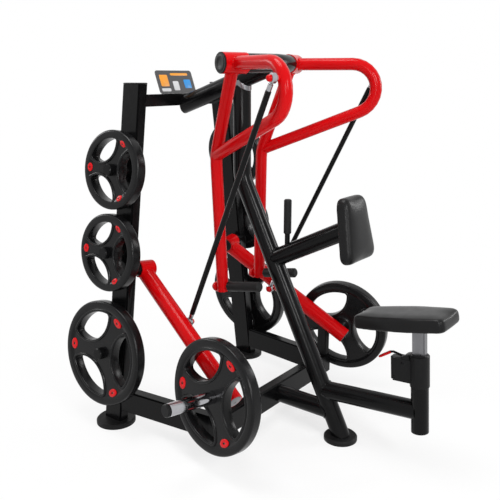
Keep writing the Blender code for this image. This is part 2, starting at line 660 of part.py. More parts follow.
def seat_unit(seat_beam):
    """Post, collar with its adjuster housing, lever, sliding tube, plate and pad."""
    post = bar("seat_post", seat_point(0.0), seat_point(SEAT_POST_LENGTH), SEAT_POST_RADIUS, BLACK, sides=28)
    bore_floor = SEAT_POST_LENGTH + COLLAR_TOP - SEAT_TUBE_INSIDE - SEAT_TRAVEL_DOWN
    cut(post, bar("seat_bore", seat_point(bore_floor), seat_point(2 * SEAT_POST_LENGTH), SEAT_POST_BORE,
                  BLACK, sides=28, cutter=True))
    post_room = bar("seat_post_room", seat_point(-SEAT_POST_LENGTH), seat_point(SEAT_POST_LENGTH + GAP),
                    SEAT_POST_RADIUS + GAP, BLACK, sides=28, cutter=True)
    cut(seat_beam, post_room)

    lean = (seat_point(1.0) - seat_point(0.0)).normalized()
    back = Vector((0, math.cos(SEAT_POST_LEAN), -math.sin(SEAT_POST_LEAN)))
    top = SEAT_POST_LENGTH + COLLAR_TOP
    collar = bar("seat_collar", seat_point(top - COLLAR_HEIGHT), seat_point(top), COLLAR_RADIUS, PLASTIC,
                 sides=28, round_end=END_CHAMFER)
    housing_low = seat_point(top - HOUSING_DROP - HOUSING_SIZE.z) + back * HOUSING_SIZE.y / 2
    housing_high = housing_low + lean * HOUSING_SIZE.z
    housing = beam("adjuster_housing", housing_low, housing_high, HOUSING_SIZE.x, HOUSING_SIZE.y, back, PLASTIC,
                   corner=HOUSING_CORNER, cutter=True)
    join(collar, housing)
    cut(collar, post_room)
    slot = beam("seat_tube_slot", seat_point(0.0), seat_point(2 * top), SEAT_TUBE_SIZE.x + 2 * RUNNING_FIT,
                SEAT_TUBE_SIZE.y + 2 * RUNNING_FIT, back, PLASTIC, corner=0.0, cutter=True)
    cut(collar, slot)

    tube_top = top + SEAT_TUBE_SHOWN
    seat_tube = beam("seat_tube", seat_point(top - SEAT_TUBE_INSIDE), seat_point(tube_top + SEAT_TUBE_SIZE.y),
                     SEAT_TUBE_SIZE.x, SEAT_TUBE_SIZE.y, back, STEEL, corner=SEAT_TUBE_CORNER)
    up = Vector((0, math.sin(SEAT_TILT), math.cos(SEAT_TILT)))
    plate_low = seat_point(tube_top) + up * SEAT_PLATE_SET
    trim = beam("seat_tube_trim", plate_low - up * GAP, plate_low + up * TRIM_SIZE, TRIM_SIZE, TRIM_SIZE,
                (0, 1, 0), BLACK, corner=0.0, cutter=True)
    cut(seat_tube, trim)
    plate_high = plate_low + up * SEAT_PLATE.z
    plate = beam("seat_plate", plate_low, plate_high, SEAT_PLATE.x, SEAT_PLATE.y, (0, 1, 0), BLACK,
                 corner=SEAT_PLATE_CORNER)
    place = Matrix.Translation(plate_high + up * GAP) @ axes_from(up, (0, 1, 0)).to_4x4()
    shift = Matrix.Translation((0, SEAT_SHIFT, 0))
    pad = cushion("seat_pad", place @ shift, seat_outline(), SEAT_THICKNESS)
    attach([seat_tube, plate, pad], "seat_slide", seat_point(top))

    lever_root = housing_high + back * (HOUSING_SIZE.y / 2 - SEAT_LEVER_LINK)
    lever_root += lean * (SEAT_LEVER_RADIUS + GAP)
    lever_mid = lever_root + back * SEAT_LEVER_LINK + lean * SEAT_LEVER_RISE
    lever_tip = lever_mid + back * (SEAT_LEVER_LENGTH - SEAT_LEVER_LINK) - lean * SEAT_LEVER_DROP
    lever_path = [lever_root, lever_mid, lever_mid.lerp(lever_tip, 0.5)]
    lever = tube("seat_lever", lever_path, SEAT_LEVER_RADIUS, RED, resolution=4)
    join(lever, beam("seat_lever_grip", lever_mid, lever_tip, SEAT_LEVER_GRIP.x, SEAT_LEVER_GRIP.y, lean, RED,
                     corner=END_CHAMFER, cutter=True))
    attach([lever], "seat_lever_pivot", lever_root)


def seat_outline():
    """Plan of the seat pad: a squared oval, a little wider toward the front."""
    points = []
    for i in range(SEAT_OUTLINE_POINTS):
        turn = 2 * math.pi * i / SEAT_OUTLINE_POINTS
        c, s = math.cos(turn), math.sin(turn)
        x = math.copysign(abs(c) ** SEAT_SQUARENESS, c) * SEAT_WIDTH / 2
        y = math.copysign(abs(s) ** SEAT_SQUARENESS, s)
        points.append((x * (1.0 - SEAT_TAPER * y), y * SEAT_LENGTH / 2))
    return points


def plate_solid(name, radius, centre, axis, side):
    """Grip plate: full rim, thinner web, a hub at the back and three lens-shaped openings between spokes."""
    half = PLATE_THICKNESS / 2
    web = half * PLATE_WEB_SHARE
    rim = radius - PLATE_RIM
    face = [(rim - PLATE_ROUND, web), (rim, half), (radius - PLATE_ROUND, half), (radius, half - PLATE_ROUND)]
    back = [(r, -h) for r, h in reversed(face)]
    hub = [(PLATE_HUB + PLATE_ROUND, -web), (PLATE_HUB, -half), (PLATE_BORE, -half)]
    profile = [(PLATE_BORE, web)] + face + back + hub
    plate = turned(name, profile, centre, axis, RUBBER, steps=PLATE_STEPS)
    forward = Vector((0, -1, 0))
    down = (forward.cross(axis) * side).normalized()
    forward = (axis.cross(down) * side).normalized()
    place = Matrix((down, forward, down.cross(forward))).transposed().to_4x4()
    place = Matrix.Translation(centre) @ place
    for spoke in range(3):
        middle = SPOKE_TURN + math.radians(60.0 + 120.0 * spoke)
        slot = outline("%s_slot_%d" % (name, spoke), lens(radius, middle), 2 * PLATE_THICKNESS, place, RUBBER,
                       cutter=True)
        cut(plate, slot)
    return plate


def lens(radius, middle):
    """Lens-shaped opening of a plate, centred on an angle: two arcs that meet in round corners."""
    outer, bulge = SLOT_OUTER_SHARE * radius, SLOT_BULGE_SHARE * radius
    corner = SLOT_CORNER_SHARE * radius
    far = SLOT_INNER_SHARE * radius + bulge
    reach, back = outer - corner, bulge - corner
    first = math.acos((reach ** 2 + far ** 2 - back ** 2) / (2 * reach * far))
    last = math.atan2(reach * math.sin(first), reach * math.cos(first) - far)
    bulge_centre = (far * math.cos(middle), far * math.sin(middle))
    high = (reach * math.cos(middle + first), reach * math.sin(middle + first))
    low = (reach * math.cos(middle - first), reach * math.sin(middle - first))
    points = arc((0, 0), outer, middle - first, middle + first, 4)
    points += arc(high, corner, middle + first, middle + last, 3)[1:]
    points += arc(bulge_centre, bulge, middle + last, middle + 2 * math.pi - last, 6)[1:]
    points += arc(low, corner, middle - last, middle - first, 3)[1:-1]
    return points


def lever_frame(side):
    """Pivot, axis, direction and height direction of a weight lever."""
    axis = mirrored(LEVER_AXIS, side)
    level = Vector((0, -1, 0))
    level = (level - axis * level.dot(axis)).normalized()
    lower = (-UP - axis * -UP.dot(axis)).normalized()
    along = (level * math.cos(LEVER_DROP) + lower * math.sin(LEVER_DROP)).normalized()
    high = axis.cross(along) * side
    high = high if high.z > 0 else -high
    return mirrored(LEVER_PIVOT, side), axis, along, high


def lever_point(side, distance):
    """Point on the centre line of a weight lever's tube."""
    pivot, _, along, high = lever_frame(side)
    return pivot - high * LEVER_SET + along * distance


def weight_levers():
    """Levers with hubs, horns and loaded plates, and the stops they rest on."""
    for label, side in SIDES:
        pivot, axis, along, _ = lever_frame(side)
        start = lever_point(side, 0.0)
        end = lever_point(side, LEVER_LENGTH)
        lever = bar("weight_lever_" + label, start, end + along * LEVER_OVERHANG, LEVER_TUBE_RADIUS, RED)
        hub_in = pivot - axis * LEVER_HUB_LENGTH / 2
        hub_out = pivot + axis * LEVER_HUB_LENGTH / 2
        join(lever, bar("lever_hub_" + label, hub_in, hub_out, LEVER_HUB_RADIUS, RED, cutter=True))
        rod_seat = rod_seat_point(side)
        boss_end = rod_seat - axis * (LEVER_TUBE_RADIUS + LOW_BOSS_LENGTH)
        join(lever, bar("low_boss_" + label, rod_seat, boss_end, ROD_BOSS_RADIUS, RED, sides=16, cutter=True))
        shaft_room = bar("lever_bore_" + label, hub_in + axis * LEVER_CAP_THICKNESS,
                         hub_out + axis * LEVER_HUB_LENGTH, LEVER_SHAFT_RADIUS + RUNNING_FIT, RED, sides=20,
                         cutter=True)
        cut(lever, shaft_room)

        lever_room = bar("lever_room_" + label, start, end + along * LEVER_LENGTH, LEVER_TUBE_RADIUS + GAP, RED,
                         cutter=True)
        horn = weight_horn(label, end, axis, lever_room)
        plate_centre = end + axis * (LEVER_TUBE_RADIUS + HORN_FLANGE + GAP + PLATE_THICKNESS / 2)
        plate = plate_solid("loaded_plate_" + label, BIG_PLATE_RADIUS, plate_centre, axis, side)
        attach([plate], "loaded_plate_%s_slide" % label, plate_centre)
        attach([lever] + horn, "lever_pivot_" + label, pivot)

        rest = start + along * ((start.y - CROSS_BEAM_Y) / -along.y)
        stop = beam("lever_stop_" + label, (rest.x, CROSS_BEAM_Y, RAIL_BOTTOM + RAIL_HEIGHT + GAP),
                    (rest.x, CROSS_BEAM_Y, rest.z), STOP_WIDTH, STOP_DEPTH, (0, 1, 0), RUBBER,
                    corner=END_CHAMFER)
        cut(stop, lever_room)


def weight_horn(label, end, axis, lever_room):
    """Plated horn with a flange saddled on the lever, and its plastic end cap."""
    seat = end + axis * SADDLE
    flange = LEVER_TUBE_RADIUS - SADDLE + HORN_FLANGE
    length = flange + PLATE_THICKNESS + HORN_REACH - HORN_CAP_LENGTH
    profile = [(0.0, length), (HORN_RADIUS, length), (HORN_RADIUS, flange), (HORN_FLANGE_RADIUS, flange),
               (HORN_FLANGE_RADIUS, 0.0), (0.0, 0.0)]
    horn = turned("weight_horn_" + label, profile, seat, axis, CHROME, steps=24)
    cut(horn, lever_room)
    cap_seat = seat + axis * (length + GAP)
    cap = bar("horn_cap_" + label, cap_seat, cap_seat + axis * (HORN_CAP_LENGTH - GAP), HORN_RADIUS, PLASTIC,
              round_end=END_CHAMFER)
    return [horn, cap]


def arm_frame(side):
    """Hub centre, axis and forward direction of a swinging arm."""
    axis = Vector((side * math.cos(ARM_TOE), math.sin(ARM_TOE), 0.0))
    forward = Vector((side * math.sin(ARM_TOE), -math.cos(ARM_TOE), 0.0))
    centre = Vector((0, HEAD_Y, SPINE_END_Z)) + axis * (HEAD_REACH + GAP + HUB_LENGTH / 2)
    return centre, axis, forward


def rod_axis(side):
    """Axis of the tie rod's upper eye."""
    return Vector((side * math.cos(ROD_TOE), math.sin(ROD_TOE), 0.0))


def arm_point(u, z, side):
    """Point in the plane of a swinging arm, ahead of and above its hub."""
    centre, _, forward = arm_frame(side)
    return centre + forward * u + UP * z


def loop_point(u, z, side):
    """Point in the plane of an arm's loop, which toes out more than the arm."""
    centre = arm_frame(side)[0]
    forward = Vector((side * math.sin(LOOP_TOE), -math.cos(LOOP_TOE), 0.0))
    return centre + forward * u + UP * z


def rod_upper(side):
    """Root of the rod's boss on the loop, and the middle of the tie rod's upper eye."""
    u = LOOP_REACH + LOOP_BEND_RADIUS * math.cos(ROD_BOSS_ANGLE)
    z = LOOP_BEND_RADIUS * math.sin(ROD_BOSS_ANGLE) - LOOP_BEND_RADIUS
    root = loop_point(u, z, side)
    offset = ARM_TUBE_RADIUS + ROD_BOSS_LENGTH + GAP + ROD_EYE_THICKNESS / 2
    return root, root + rod_axis(side) * offset


def rod_seat_point(side):
    """Root of the boss on a weight lever that carries the tie rod."""
    high = lever_frame(side)[3]
    return lever_point(side, ROD_SEAT) - high * ROD_SEAT_DROP


def rod_lower(side):
    """Middle of the tie rod's lower eye."""
    axis = mirrored(LEVER_AXIS, side)
    offset = LEVER_TUBE_RADIUS + LOW_BOSS_LENGTH + OPEN_PIVOT_CLEARANCE + ROD_EYE_THICKNESS / 2
    return rod_seat_point(side) - axis * offset


def swinging_arms():
    """Hubs, caps, loops, bars, handles and grips of both arms."""
    for label, side in SIDES:
        centre, axis, _ = arm_frame(side)
        inner = centre - axis * HUB_LENGTH / 2
        outer = centre + axis * HUB_LENGTH / 2
        bore = ARM_SHAFT_RADIUS + RUNNING_FIT
        profile = [(bore, HUB_LENGTH), (HUB_RADIUS, HUB_LENGTH), (HUB_RADIUS, 0.0), (bore, 0.0)]
        hub = turned("arm_hub_" + label, profile, inner, axis, RED, steps=28)
        cap = bar("hub_cap_" + label, outer + axis * GAP, outer + axis * (GAP + HUB_CAP_THICKNESS), HUB_RADIUS,
                  PLASTIC, sides=28, round_end=HUB_CAP_THICKNESS / 2)
        hub_room = bar("hub_room_" + label, inner, outer, HUB_RADIUS + GAP, RED, sides=28, cutter=True)

        kink = arm_point(-ARM_KINK_BACK, -ARM_KINK_DROP, side)
        foot = arm_point(-ARM_KINK_BACK, -ARM_DROP, side) - axis * ARM_LEAN
        upper = (kink - centre).normalized() * ARM_BEND_LENGTH
        lower = (foot - kink).normalized() * ARM_BEND_LENGTH
        bar_path = [centre, kink - upper, kink - upper / 3 + lower / 6, kink + lower / 3 - upper / 6,
                    kink + lower, foot]
        arm_bar = tube("arm_bar_" + label, bar_path, ARM_TUBE_RADIUS, RED)
        bar_room = tube("bar_room_" + label, bar_path, ARM_TUBE_RADIUS + GAP, RED, cutter=True)
        cut(arm_bar, hub_room)

        bend_end = LOOP_SLOPE - math.pi / 2
        bend = arc((LOOP_REACH, -LOOP_BEND_RADIUS), LOOP_BEND_RADIUS, math.pi / 2, bend_end, 12)
        loop_path = [loop_point(LOOP_ROOT, 0.0, side)] + [loop_point(u, z, side) for u, z in bend]
        loop_path.append(kink.lerp(loop_path[-1], LOOP_ROOT))
        loop = tube("arm_loop_" + label, loop_path, ARM_TUBE_RADIUS, RED)
        boss_root = rod_upper(side)[0]
        boss_end = boss_root + rod_axis(side) * (ARM_TUBE_RADIUS + ROD_BOSS_LENGTH)
        join(loop, bar("rod_boss_" + label, boss_root, boss_end, ROD_BOSS_RADIUS, RED, sides=16, cutter=True))
        cut(loop, hub_room, bar_room)

        level = foot + UP * HANDLE_HEIGHT_ABOVE_END
        back = Vector((0, math.cos(HANDLE_RISE), -math.sin(HANDLE_RISE)))
        grip_start = level - back * (ARM_TUBE_RADIUS + GRIP_STANDOFF)
        grip_end = grip_start - back * GRIP_LENGTH
        handle_end = grip_end + back * GRIP_END
        handle = bar("handle_bar_" + label, level + back * HANDLE_BACK, handle_end, HANDLE_RADIUS, RED,
                     sides=16, round_end=HANDLE_ROUND)
        cut(arm_bar, bar("handle_bore_" + label, level + back * GRIP_LENGTH, level - back * GRIP_LENGTH,
                         HANDLE_RADIUS + GAP, RED, sides=16, cutter=True))
        grip = bar("handle_grip_" + label, grip_start, grip_end, GRIP_RADIUS, RUBBER, sides=20,
                   round_end=HANDLE_ROUND)
        cut(grip, bar("grip_bore_" + label, grip_start + back * GRIP_LENGTH, handle_end - back * GAP,
                      HANDLE_RADIUS + GAP, RUBBER, sides=16, cutter=True))
        attach([hub, cap, arm_bar, loop, handle, grip], "arm_pivot_" + label, centre)


def tie_rods():
    """Rods with an eye at each end, from the arm loops down to the levers."""
    for label, side in SIDES:
        upper = rod_upper(side)[1]
        upper_axis = rod_axis(side)
        lower = rod_lower(side)
        lower_axis = mirrored(LEVER_AXIS, side)
        along = (lower - upper).normalized()
        tube_start = upper + along * ROD_SHANK
        tube_end = lower - along * ROD_SHANK
        rod = bar("tie_rod_" + label, tube_start, tube_end, ROD_RADIUS, BLACK, sides=16)
        pieces = [rod]
        for place, centre, eye_axis, shank_end in (("upper", upper, upper_axis, tube_start - along * GAP),
                                                   ("lower", lower, lower_axis, tube_end + along * GAP)):
            half = eye_axis * ROD_EYE_THICKNESS / 2
            eye = bar("rod_end_%s_%s" % (place, label), centre - half, centre + half, ROD_EYE_RADIUS, CHROME,
                      sides=20, round_end=END_CHAMFER)
            shank = bar("rod_shank_%s_%s" % (place, label), centre, shank_end, ROD_SHANK_RADIUS, CHROME,
                        sides=12, cutter=True)
            join(eye, shank)
            pieces.append(eye)
        attach(pieces, "rod_pivot_" + label, upper)


def placard():
    """Bare sign plate that leans back on the top bar."""
    base = Vector((0, POST_Y + PLACARD_SET_BACK, TOP_BAR_Z + TOP_BAR_SIZE / 2 + GAP))
    across = Vector((1, 0, 0))
    up = Vector((0, math.sin(PLACARD_TILT), math.cos(PLACARD_TILT)))
    lift = PLACARD_SIZE.z / 2 + PLACARD_SIZE.y / 2 * math.tan(PLACARD_TILT)
    turn = Matrix((across, up, across.cross(up))).transposed().to_4x4()
    place = Matrix.Translation(base + up * lift) @ turn
    outline("placard", rounded_rectangle(PLACARD_SIZE.x, PLACARD_SIZE.z, PLACARD_CORNER), PLACARD_SIZE.y, place,
            SIGN)


def main():
    """Build the machine group by group."""
    rear_frame()
    leg_room, seat_beam = centre_frame()
    chest_support(leg_room)
    seat_unit(seat_beam)
    rear_posts()
    weight_levers()
    swinging_arms()
    tie_rods()
    placard()


main()
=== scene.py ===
"""Looks of the plate-loaded seated row machine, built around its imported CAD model.

Metres, +Z up. X = 0 is the plane of symmetry, the user sits at -Y, and "left" is -X.
"""
import math

import bmesh
import bpy
from mathutils import Matrix, Vector
from mathutils.geometry import delaunay_2d_cdt


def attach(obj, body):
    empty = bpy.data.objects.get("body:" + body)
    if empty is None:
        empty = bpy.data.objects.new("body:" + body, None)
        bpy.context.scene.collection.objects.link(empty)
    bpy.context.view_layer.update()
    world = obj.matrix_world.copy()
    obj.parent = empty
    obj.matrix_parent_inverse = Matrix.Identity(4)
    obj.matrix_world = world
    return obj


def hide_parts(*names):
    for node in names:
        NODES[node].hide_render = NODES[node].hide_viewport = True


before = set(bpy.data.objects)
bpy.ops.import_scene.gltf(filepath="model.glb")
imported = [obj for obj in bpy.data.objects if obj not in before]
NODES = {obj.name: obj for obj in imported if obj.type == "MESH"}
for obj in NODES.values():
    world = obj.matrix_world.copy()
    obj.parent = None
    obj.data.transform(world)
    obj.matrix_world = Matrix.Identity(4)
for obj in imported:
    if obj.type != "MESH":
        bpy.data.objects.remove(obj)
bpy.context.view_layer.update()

UP = Vector((0, 0, 1))
ACROSS = Vector((1, 0, 0))
SIDES = (("left", -1), ("right", 1))
GAP = 0.0003

# Sizes of the CAD model that the pieces here are fitted to
POST_WIDTH, POST_DEPTH, POST_HEIGHT = 0.050, 0.100, 1.447
POST_SPREAD, POST_Y, POST_SPLAY = 0.470, 0.5366, math.radians(7.75)
TUBE_RADIUS = 0.038
LEG_FOOT_Y, LEG_TOP_Y, LEG_SLANT = -0.3394, 0.1916, math.radians(26.54)
LEG_SLOPE = math.tan(LEG_SLANT)
CENTER_BEAM_HEIGHT, SEAT_BEAM_HEIGHT, SEAT_BEAM_RISE = 0.115, 0.200, math.radians(5.0)
SPINE_BACK_Y, SPINE_START_Z, SPINE_END_Z, HEAD_Y = 0.5116, 1.358, 1.527, 0.0146
ARM_TOE, LOOP_TOE, ROD_TOE = math.radians(18.0), math.radians(21.5), math.radians(22.0)
HEAD_REACH, HUB_LENGTH, HUB_RADIUS, HUB_CAP = 0.153, 0.108, 0.040, 0.006
ARM_TUBE_RADIUS = 0.025
LOOP_REACH, LOOP_BEND, ROD_BOSS_ANGLE = 0.257, 0.100, math.radians(27.0)
ARM_KINK_BACK, ARM_KINK_DROP, ARM_DROP, ARM_LEAN = 0.133, 0.362, 0.943, 0.027
HANDLE_RISE, HANDLE_ABOVE = math.radians(10.0), 0.019
LEVER_PIVOT = Vector((0.293, 0.5026, 0.667))
LEVER_AXIS = Vector((0.984, 0.140, 0.1115)).normalized()
LEVER_LENGTH, LEVER_DROP, LEVER_SET = 0.687, math.radians(32.8), 0.012
LEVER_RADIUS, LEVER_OVERHANG, LEVER_HUB_LENGTH = 0.0355, 0.045, 0.074
ROD_SEAT, ROD_SEAT_DROP, LOW_BOSS, OPEN_CLEARANCE = 0.310, 0.012, 0.0115, 0.0022
EYE_THICKNESS, ROD_BOSS = 0.020, 0.010
BIG_PLATE, SMALL_PLATE, PLATE_THICKNESS, PLATE_BORE = 0.225, 0.163, 0.050, 0.0250
PLATE_HUB, PLATE_RIM, PLATE_ROUND, PLATE_WEB = 0.046, 0.030, 0.010, 0.018
SLOT_INNER, SLOT_OUTER, SLOT_BULGE, SLOT_CORNER = 0.29, 0.79, 0.564, 0.06
SPOKE_TURN = math.radians(31.0)
PLATE_STANDOFF, STORE_SET_BACK, HORN_FLANGE = 0.030, 0.010, 0.004
STORES = ((0.323, BIG_PLATE), (0.753, SMALL_PLATE), (1.094, SMALL_PLATE))
CHEST_BEAM_HEIGHT, CHEST_BEAM_LENGTH, CHEST_BRACKET = 0.727, 0.394, 0.006
CHEST_AXIS = Vector((0, -math.cos(LEG_SLANT), math.sin(LEG_SLANT)))
CHEST_WIDE, CHEST_TOP, CHEST_TALL, CHEST_THICK = 0.222, 0.160, 0.258, 0.052
CHEST_CORNER, CHEST_TILT = 0.034, math.radians(10.6)
SEAT_POST_Y, SEAT_POST_BOTTOM, SEAT_POST_LEAN = -0.6754, 0.152, math.radians(4.0)
SEAT_LEAN = Vector((0, math.sin(SEAT_POST_LEAN), math.cos(SEAT_POST_LEAN)))
SEAT_BACK = Vector((0, math.cos(SEAT_POST_LEAN), -math.sin(SEAT_POST_LEAN)))
SEAT_TUBE_TOP, SEAT_PLATE_SET, SEAT_PLATE = 0.416, 0.004, 0.006
COLLAR_END, HOUSING_WIDE, HOUSING_DEEP, HOUSING_DROP = 0.314, 0.052, 0.112, 0.022
SEAT_LEVER_LINK, SEAT_LEVER_LENGTH, SEAT_LEVER_RADIUS = 0.040, 0.098, 0.005
SEAT_LEVER_RISE, SEAT_LEVER_DROP = 0.010, 0.034
SEAT_TILT, SEAT_SHIFT = math.radians(10.4), 0.057
SEAT_WIDE, SEAT_LONG, SEAT_THICK = 0.200, 0.380, 0.052
TOP_BAR_TOP = 1.404
PLACARD_THICK, PLACARD_TALL, PLACARD_SET_BACK, PLACARD_TILT = 0.003, 0.104, 0.012, math.radians(20.0)


# Materials

def add_node(tree, kind, inputs=None, **settings):
    """New shader node with its settings, and with its inputs set or linked."""
    made = tree.nodes.new("ShaderNode" + kind)
    for key, value in settings.items():
        setattr(made, key, value)
    for key, value in (inputs or {}).items():
        if isinstance(value, bpy.types.NodeSocket):
            tree.links.new(value, made.inputs[key])
        else:
            made.inputs[key].default_value = value
    return made


class Finish:
    """A Principled material with a short way to add texture nodes in object space."""

    def __init__(self, name, slot):
        self.made = bpy.data.materials.new(name)
        self.made.use_nodes = True
        self.slot = slot
        self.tree = self.made.node_tree
        self.shader = self.tree.nodes["Principled BSDF"]
        self.place = self.node("TexCoord").outputs["Object"]

    def set(self, **values):
        """Constants on the shader's own sockets."""
        for key, value in values.items():
            self.shader.inputs[key.replace("_", " ")].default_value = value
        return self

    def node(self, kind, inputs=None, **settings):
        """A node in this material."""
        return add_node(self.tree, kind, inputs, **settings)

    def noise(self, scale, detail=3.0, roughness=0.55, stretch=None):
        """Noise over the object, stretched where asked."""
        vector = self.place
        if stretch:
            vector = self.node("Mapping", {"Vector": vector, "Scale": stretch}).outputs["Vector"]
        inputs = {"Vector": vector, "Scale": scale, "Detail": detail, "Roughness": roughness}
        return self.node("TexNoise", inputs).outputs["Fac"]

    def ramp(self, fac, *stops):
        """Colours by value, from (position, colour) stops."""
        made = self.node("ValToRGB", {"Fac": fac})
        band = made.color_ramp
        while len(band.elements) < len(stops):
            band.elements.new(0.5)
        for element, (position, colour) in zip(band.elements, stops):
            element.position = position
            element.color = (*colour, 1.0)
        return made.outputs["Color"]

    def span(self, fac, low, high, start=0.3, stop=0.7):
        """The middle of a noise's range mapped to a range of values."""
        inputs = {"Value": fac, "From Min": start, "From Max": stop, "To Min": low, "To Max": high}
        return self.node("MapRange", inputs).outputs["Result"]

    def link(self, output, key):
        """Link an output to the shader."""
        self.tree.links.new(output, self.shader.inputs[key])

    def bump(self, height, strength, distance, under=None):
        """Bump on the shader, over an earlier bump where there is one."""
        inputs = {"Height": height, "Strength": strength, "Distance": distance}
        if under:
            inputs["Normal"] = under
        made = self.node("Bump", inputs).outputs["Normal"]
        self.link(made, "Normal")
        return made


def shade(colour, factor):
    """A colour made lighter or darker."""
    return tuple(min(1.0, part * factor) for part in colour)


def coat(name, slot, colour, rough, gloss, spread=0.14):
    """Powder coat: fine orange peel, a slow drift of shade and uneven gloss."""
    made = Finish(name, slot).set(Specular_IOR_Level=gloss)
    drift = made.noise(5.0, 4.0)
    speck = made.noise(260.0, 2.0)
    mixed = made.node("Math", {0: drift, 1: speck}, operation="ADD").outputs["Value"]
    half = made.node("Math", {0: mixed, 1: 0.5}, operation="MULTIPLY").outputs["Value"]
    tone = made.ramp(half, (0.30, shade(colour, 1 - spread)), (0.70, shade(colour, 1 + spread)))
    made.link(tone, "Base Color")
    made.link(made.span(made.noise(38.0, 4.0), rough * 0.82, rough * 1.2), "Roughness")
    peel = made.noise(240.0, 2.0, 0.4)
    made.bump(peel, 0.012, 0.0006)
    return made


def rubber(name, colour, rough, gloss, grain, relief):
    """Moulded rubber or plastic: mottled shade, fine grain and scuffed gloss."""
    made = Finish(name, name).set(Specular_IOR_Level=gloss)
    mottle = made.noise(11.0, 6.0, 0.65)
    made.link(made.ramp(mottle, (0.30, shade(colour, 0.80)), (0.72, shade(colour, 1.30))), "Base Color")
    made.link(made.span(made.noise(24.0, 5.0), rough * 0.85, rough * 1.18), "Roughness")
    fine = made.bump(made.noise(grain, 3.0, 0.6), relief, 0.0005)
    made.bump(made.noise(grain * 0.12, 3.0), relief * 0.5, 0.0008, fine)
    return made


def metal(name, colour, low, high, stretch, relief=0.02):
    """Plated or brushed metal: fine drawn lines and a little haze."""
    made = Finish(name, name).set(Metallic=1.0)
    lines = made.noise(90.0, 5.0, 0.7, stretch)
    haze = made.noise(14.0, 4.0)
    made.link(made.ramp(haze, (0.3, shade(colour, 0.90)), (0.7, shade(colour, 1.06))), "Base Color")
    made.link(made.span(lines, low, high), "Roughness")
    made.bump(lines, relief, 0.0003)
    return made


def leather(name, slot, colour, rough, gloss):
    """Vinyl cover: small pebbled grain, with painted shade darkening its valleys."""
    made = Finish(name, slot).set(Specular_IOR_Level=gloss, Sheen_Weight=0.02, Sheen_Roughness=0.5)
    pebbles = made.node("TexVoronoi", {"Vector": made.place, "Scale": 620.0, "Randomness": 0.9})
    cell = pebbles.outputs["Distance"]
    drift = made.noise(9.0, 4.0)
    tone = made.ramp(drift, (0.30, shade(colour, 0.86)), (0.70, shade(colour, 1.14)))
    # Painted shade: the base colour is darkened in the grain's valleys, toward the edges of the pebble cells.
    valley_shade = made.ramp(cell, (0.0, (1.0, 1.0, 1.0)), (0.65, (0.72, 0.72, 0.72)))
    both = made.node("Mix", {6: tone, 7: valley_shade, 0: 1.0}, data_type="RGBA", blend_type="MULTIPLY")
    made.link(both.outputs[2], "Base Color")
    made.link(made.span(made.noise(30.0, 4.0), rough * 0.9, rough * 1.12), "Roughness")
    fine = made.bump(cell, 0.12, 0.0004)
    made.bump(made.noise(70.0, 3.0), 0.06, 0.0008, fine)
    return made


def print_panel(name, colour):
    """Printed panel of the placard: even ink with a faint screen grain."""
    made = Finish(name, "sign")
    grain = made.noise(900.0, 1.0)
    made.link(made.ramp(grain, (0.3, shade(colour, 0.94)), (0.7, shade(colour, 1.05))), "Base Color")
    made.link(made.span(made.noise(60.0), 0.30, 0.42), "Roughness")
    made.bump(grain, 0.04, 0.0003)
    return made


BLACK = coat("black_powder_coat", "black_coat", (0.0035, 0.0035, 0.0038), 0.21, 0.12)
RED = coat("red_powder_coat", "red_coat", (0.53, 0.0022, 0.0038), 0.19, 0.11, spread=0.07)
PLATE = rubber("plate_rubber", (0.0050, 0.0050, 0.0054), 0.24, 0.17, grain=300.0, relief=0.03)
FOOT = rubber("foot_rubber", (0.0075, 0.0075, 0.0078), 0.50, 0.13, grain=380.0, relief=0.10)
GRIP = rubber("grip_rubber", (0.0090, 0.0090, 0.0094), 0.52, 0.16, grain=520.0, relief=0.14)
PLASTIC = rubber("black_plastic", (0.0062, 0.0062, 0.0066), 0.36, 0.13, grain=420.0, relief=0.07)
CHROME = metal("chrome", (0.42, 0.42, 0.44), 0.06, 0.16, stretch=(1.0, 0.05, 0.05))
BRIGHT = metal("bright_steel", (0.38, 0.38, 0.40), 0.14, 0.30, stretch=(0.2, 0.2, 1.0))
BRUSHED = metal("brushed_steel", (0.20, 0.20, 0.21), 0.22, 0.42, stretch=(1.0, 1.0, 0.03), relief=0.05)
VINYL = leather("grey_vinyl", "vinyl", (0.0078, 0.0078, 0.0082), 0.33, 0.15)
SIGN = print_panel("sign_sheet", (0.030, 0.030, 0.032))
INSERT = coat("insert_enamel", "red_coat", (0.62, 0.005, 0.008), 0.28, 0.20, spread=0.06)

# The first word or words of the CAD nodes' names; the rest are plates
NODE_FINISHES = {
    BLACK: ("rear_post", "side_rail", "cross_beam", "center_beam", "front_leg", "seat_beam", "top_crossbar",
            "spine", "pivot_head", "chest_beam", "chest_bracket", "brace_bar", "seat_post", "seat_plate",
            "tie_rod"),
    RED: ("arm_hub", "arm_bar", "arm_loop", "handle_bar", "weight_lever", "seat_lever"),
    FOOT: ("rear_foot", "front_foot", "lever_stop"),
    GRIP: ("handle_grip", "brace_grip"),
    PLASTIC: ("hub_cap", "horn_cap", "seat_collar"),
    CHROME: ("weight_horn",),
    BRIGHT: ("rod_end",),
    BRUSHED: ("seat_tube",),
    SIGN: ("placard",),
    VINYL: ("chest_pad", "seat_pad"),
}
SHARP_TURN = 38.0
WELD_DISTANCE = 0.00002


def dress_nodes():
    """Every CAD node gets its finish and smooth shading between its sharp edges."""
    for name, item in NODES.items():
        finish = next((made for made, starts in NODE_FINISHES.items() if name.startswith(starts)), PLATE)
        item.data.materials.clear()
        item.data.materials.append(finish.made)
        for layer in ("custom_normal", "sharp_edge"):
            if layer in item.data.attributes:
                item.data.attributes.remove(item.data.attributes[layer])
        item.data.shade_smooth()
        weld = item.modifiers.new("weld", "WELD")
        weld.merge_threshold = WELD_DISTANCE
        split = item.modifiers.new("sharp_edges", "EDGE_SPLIT")
        split.split_angle = math.radians(SHARP_TURN)


# Building helpers

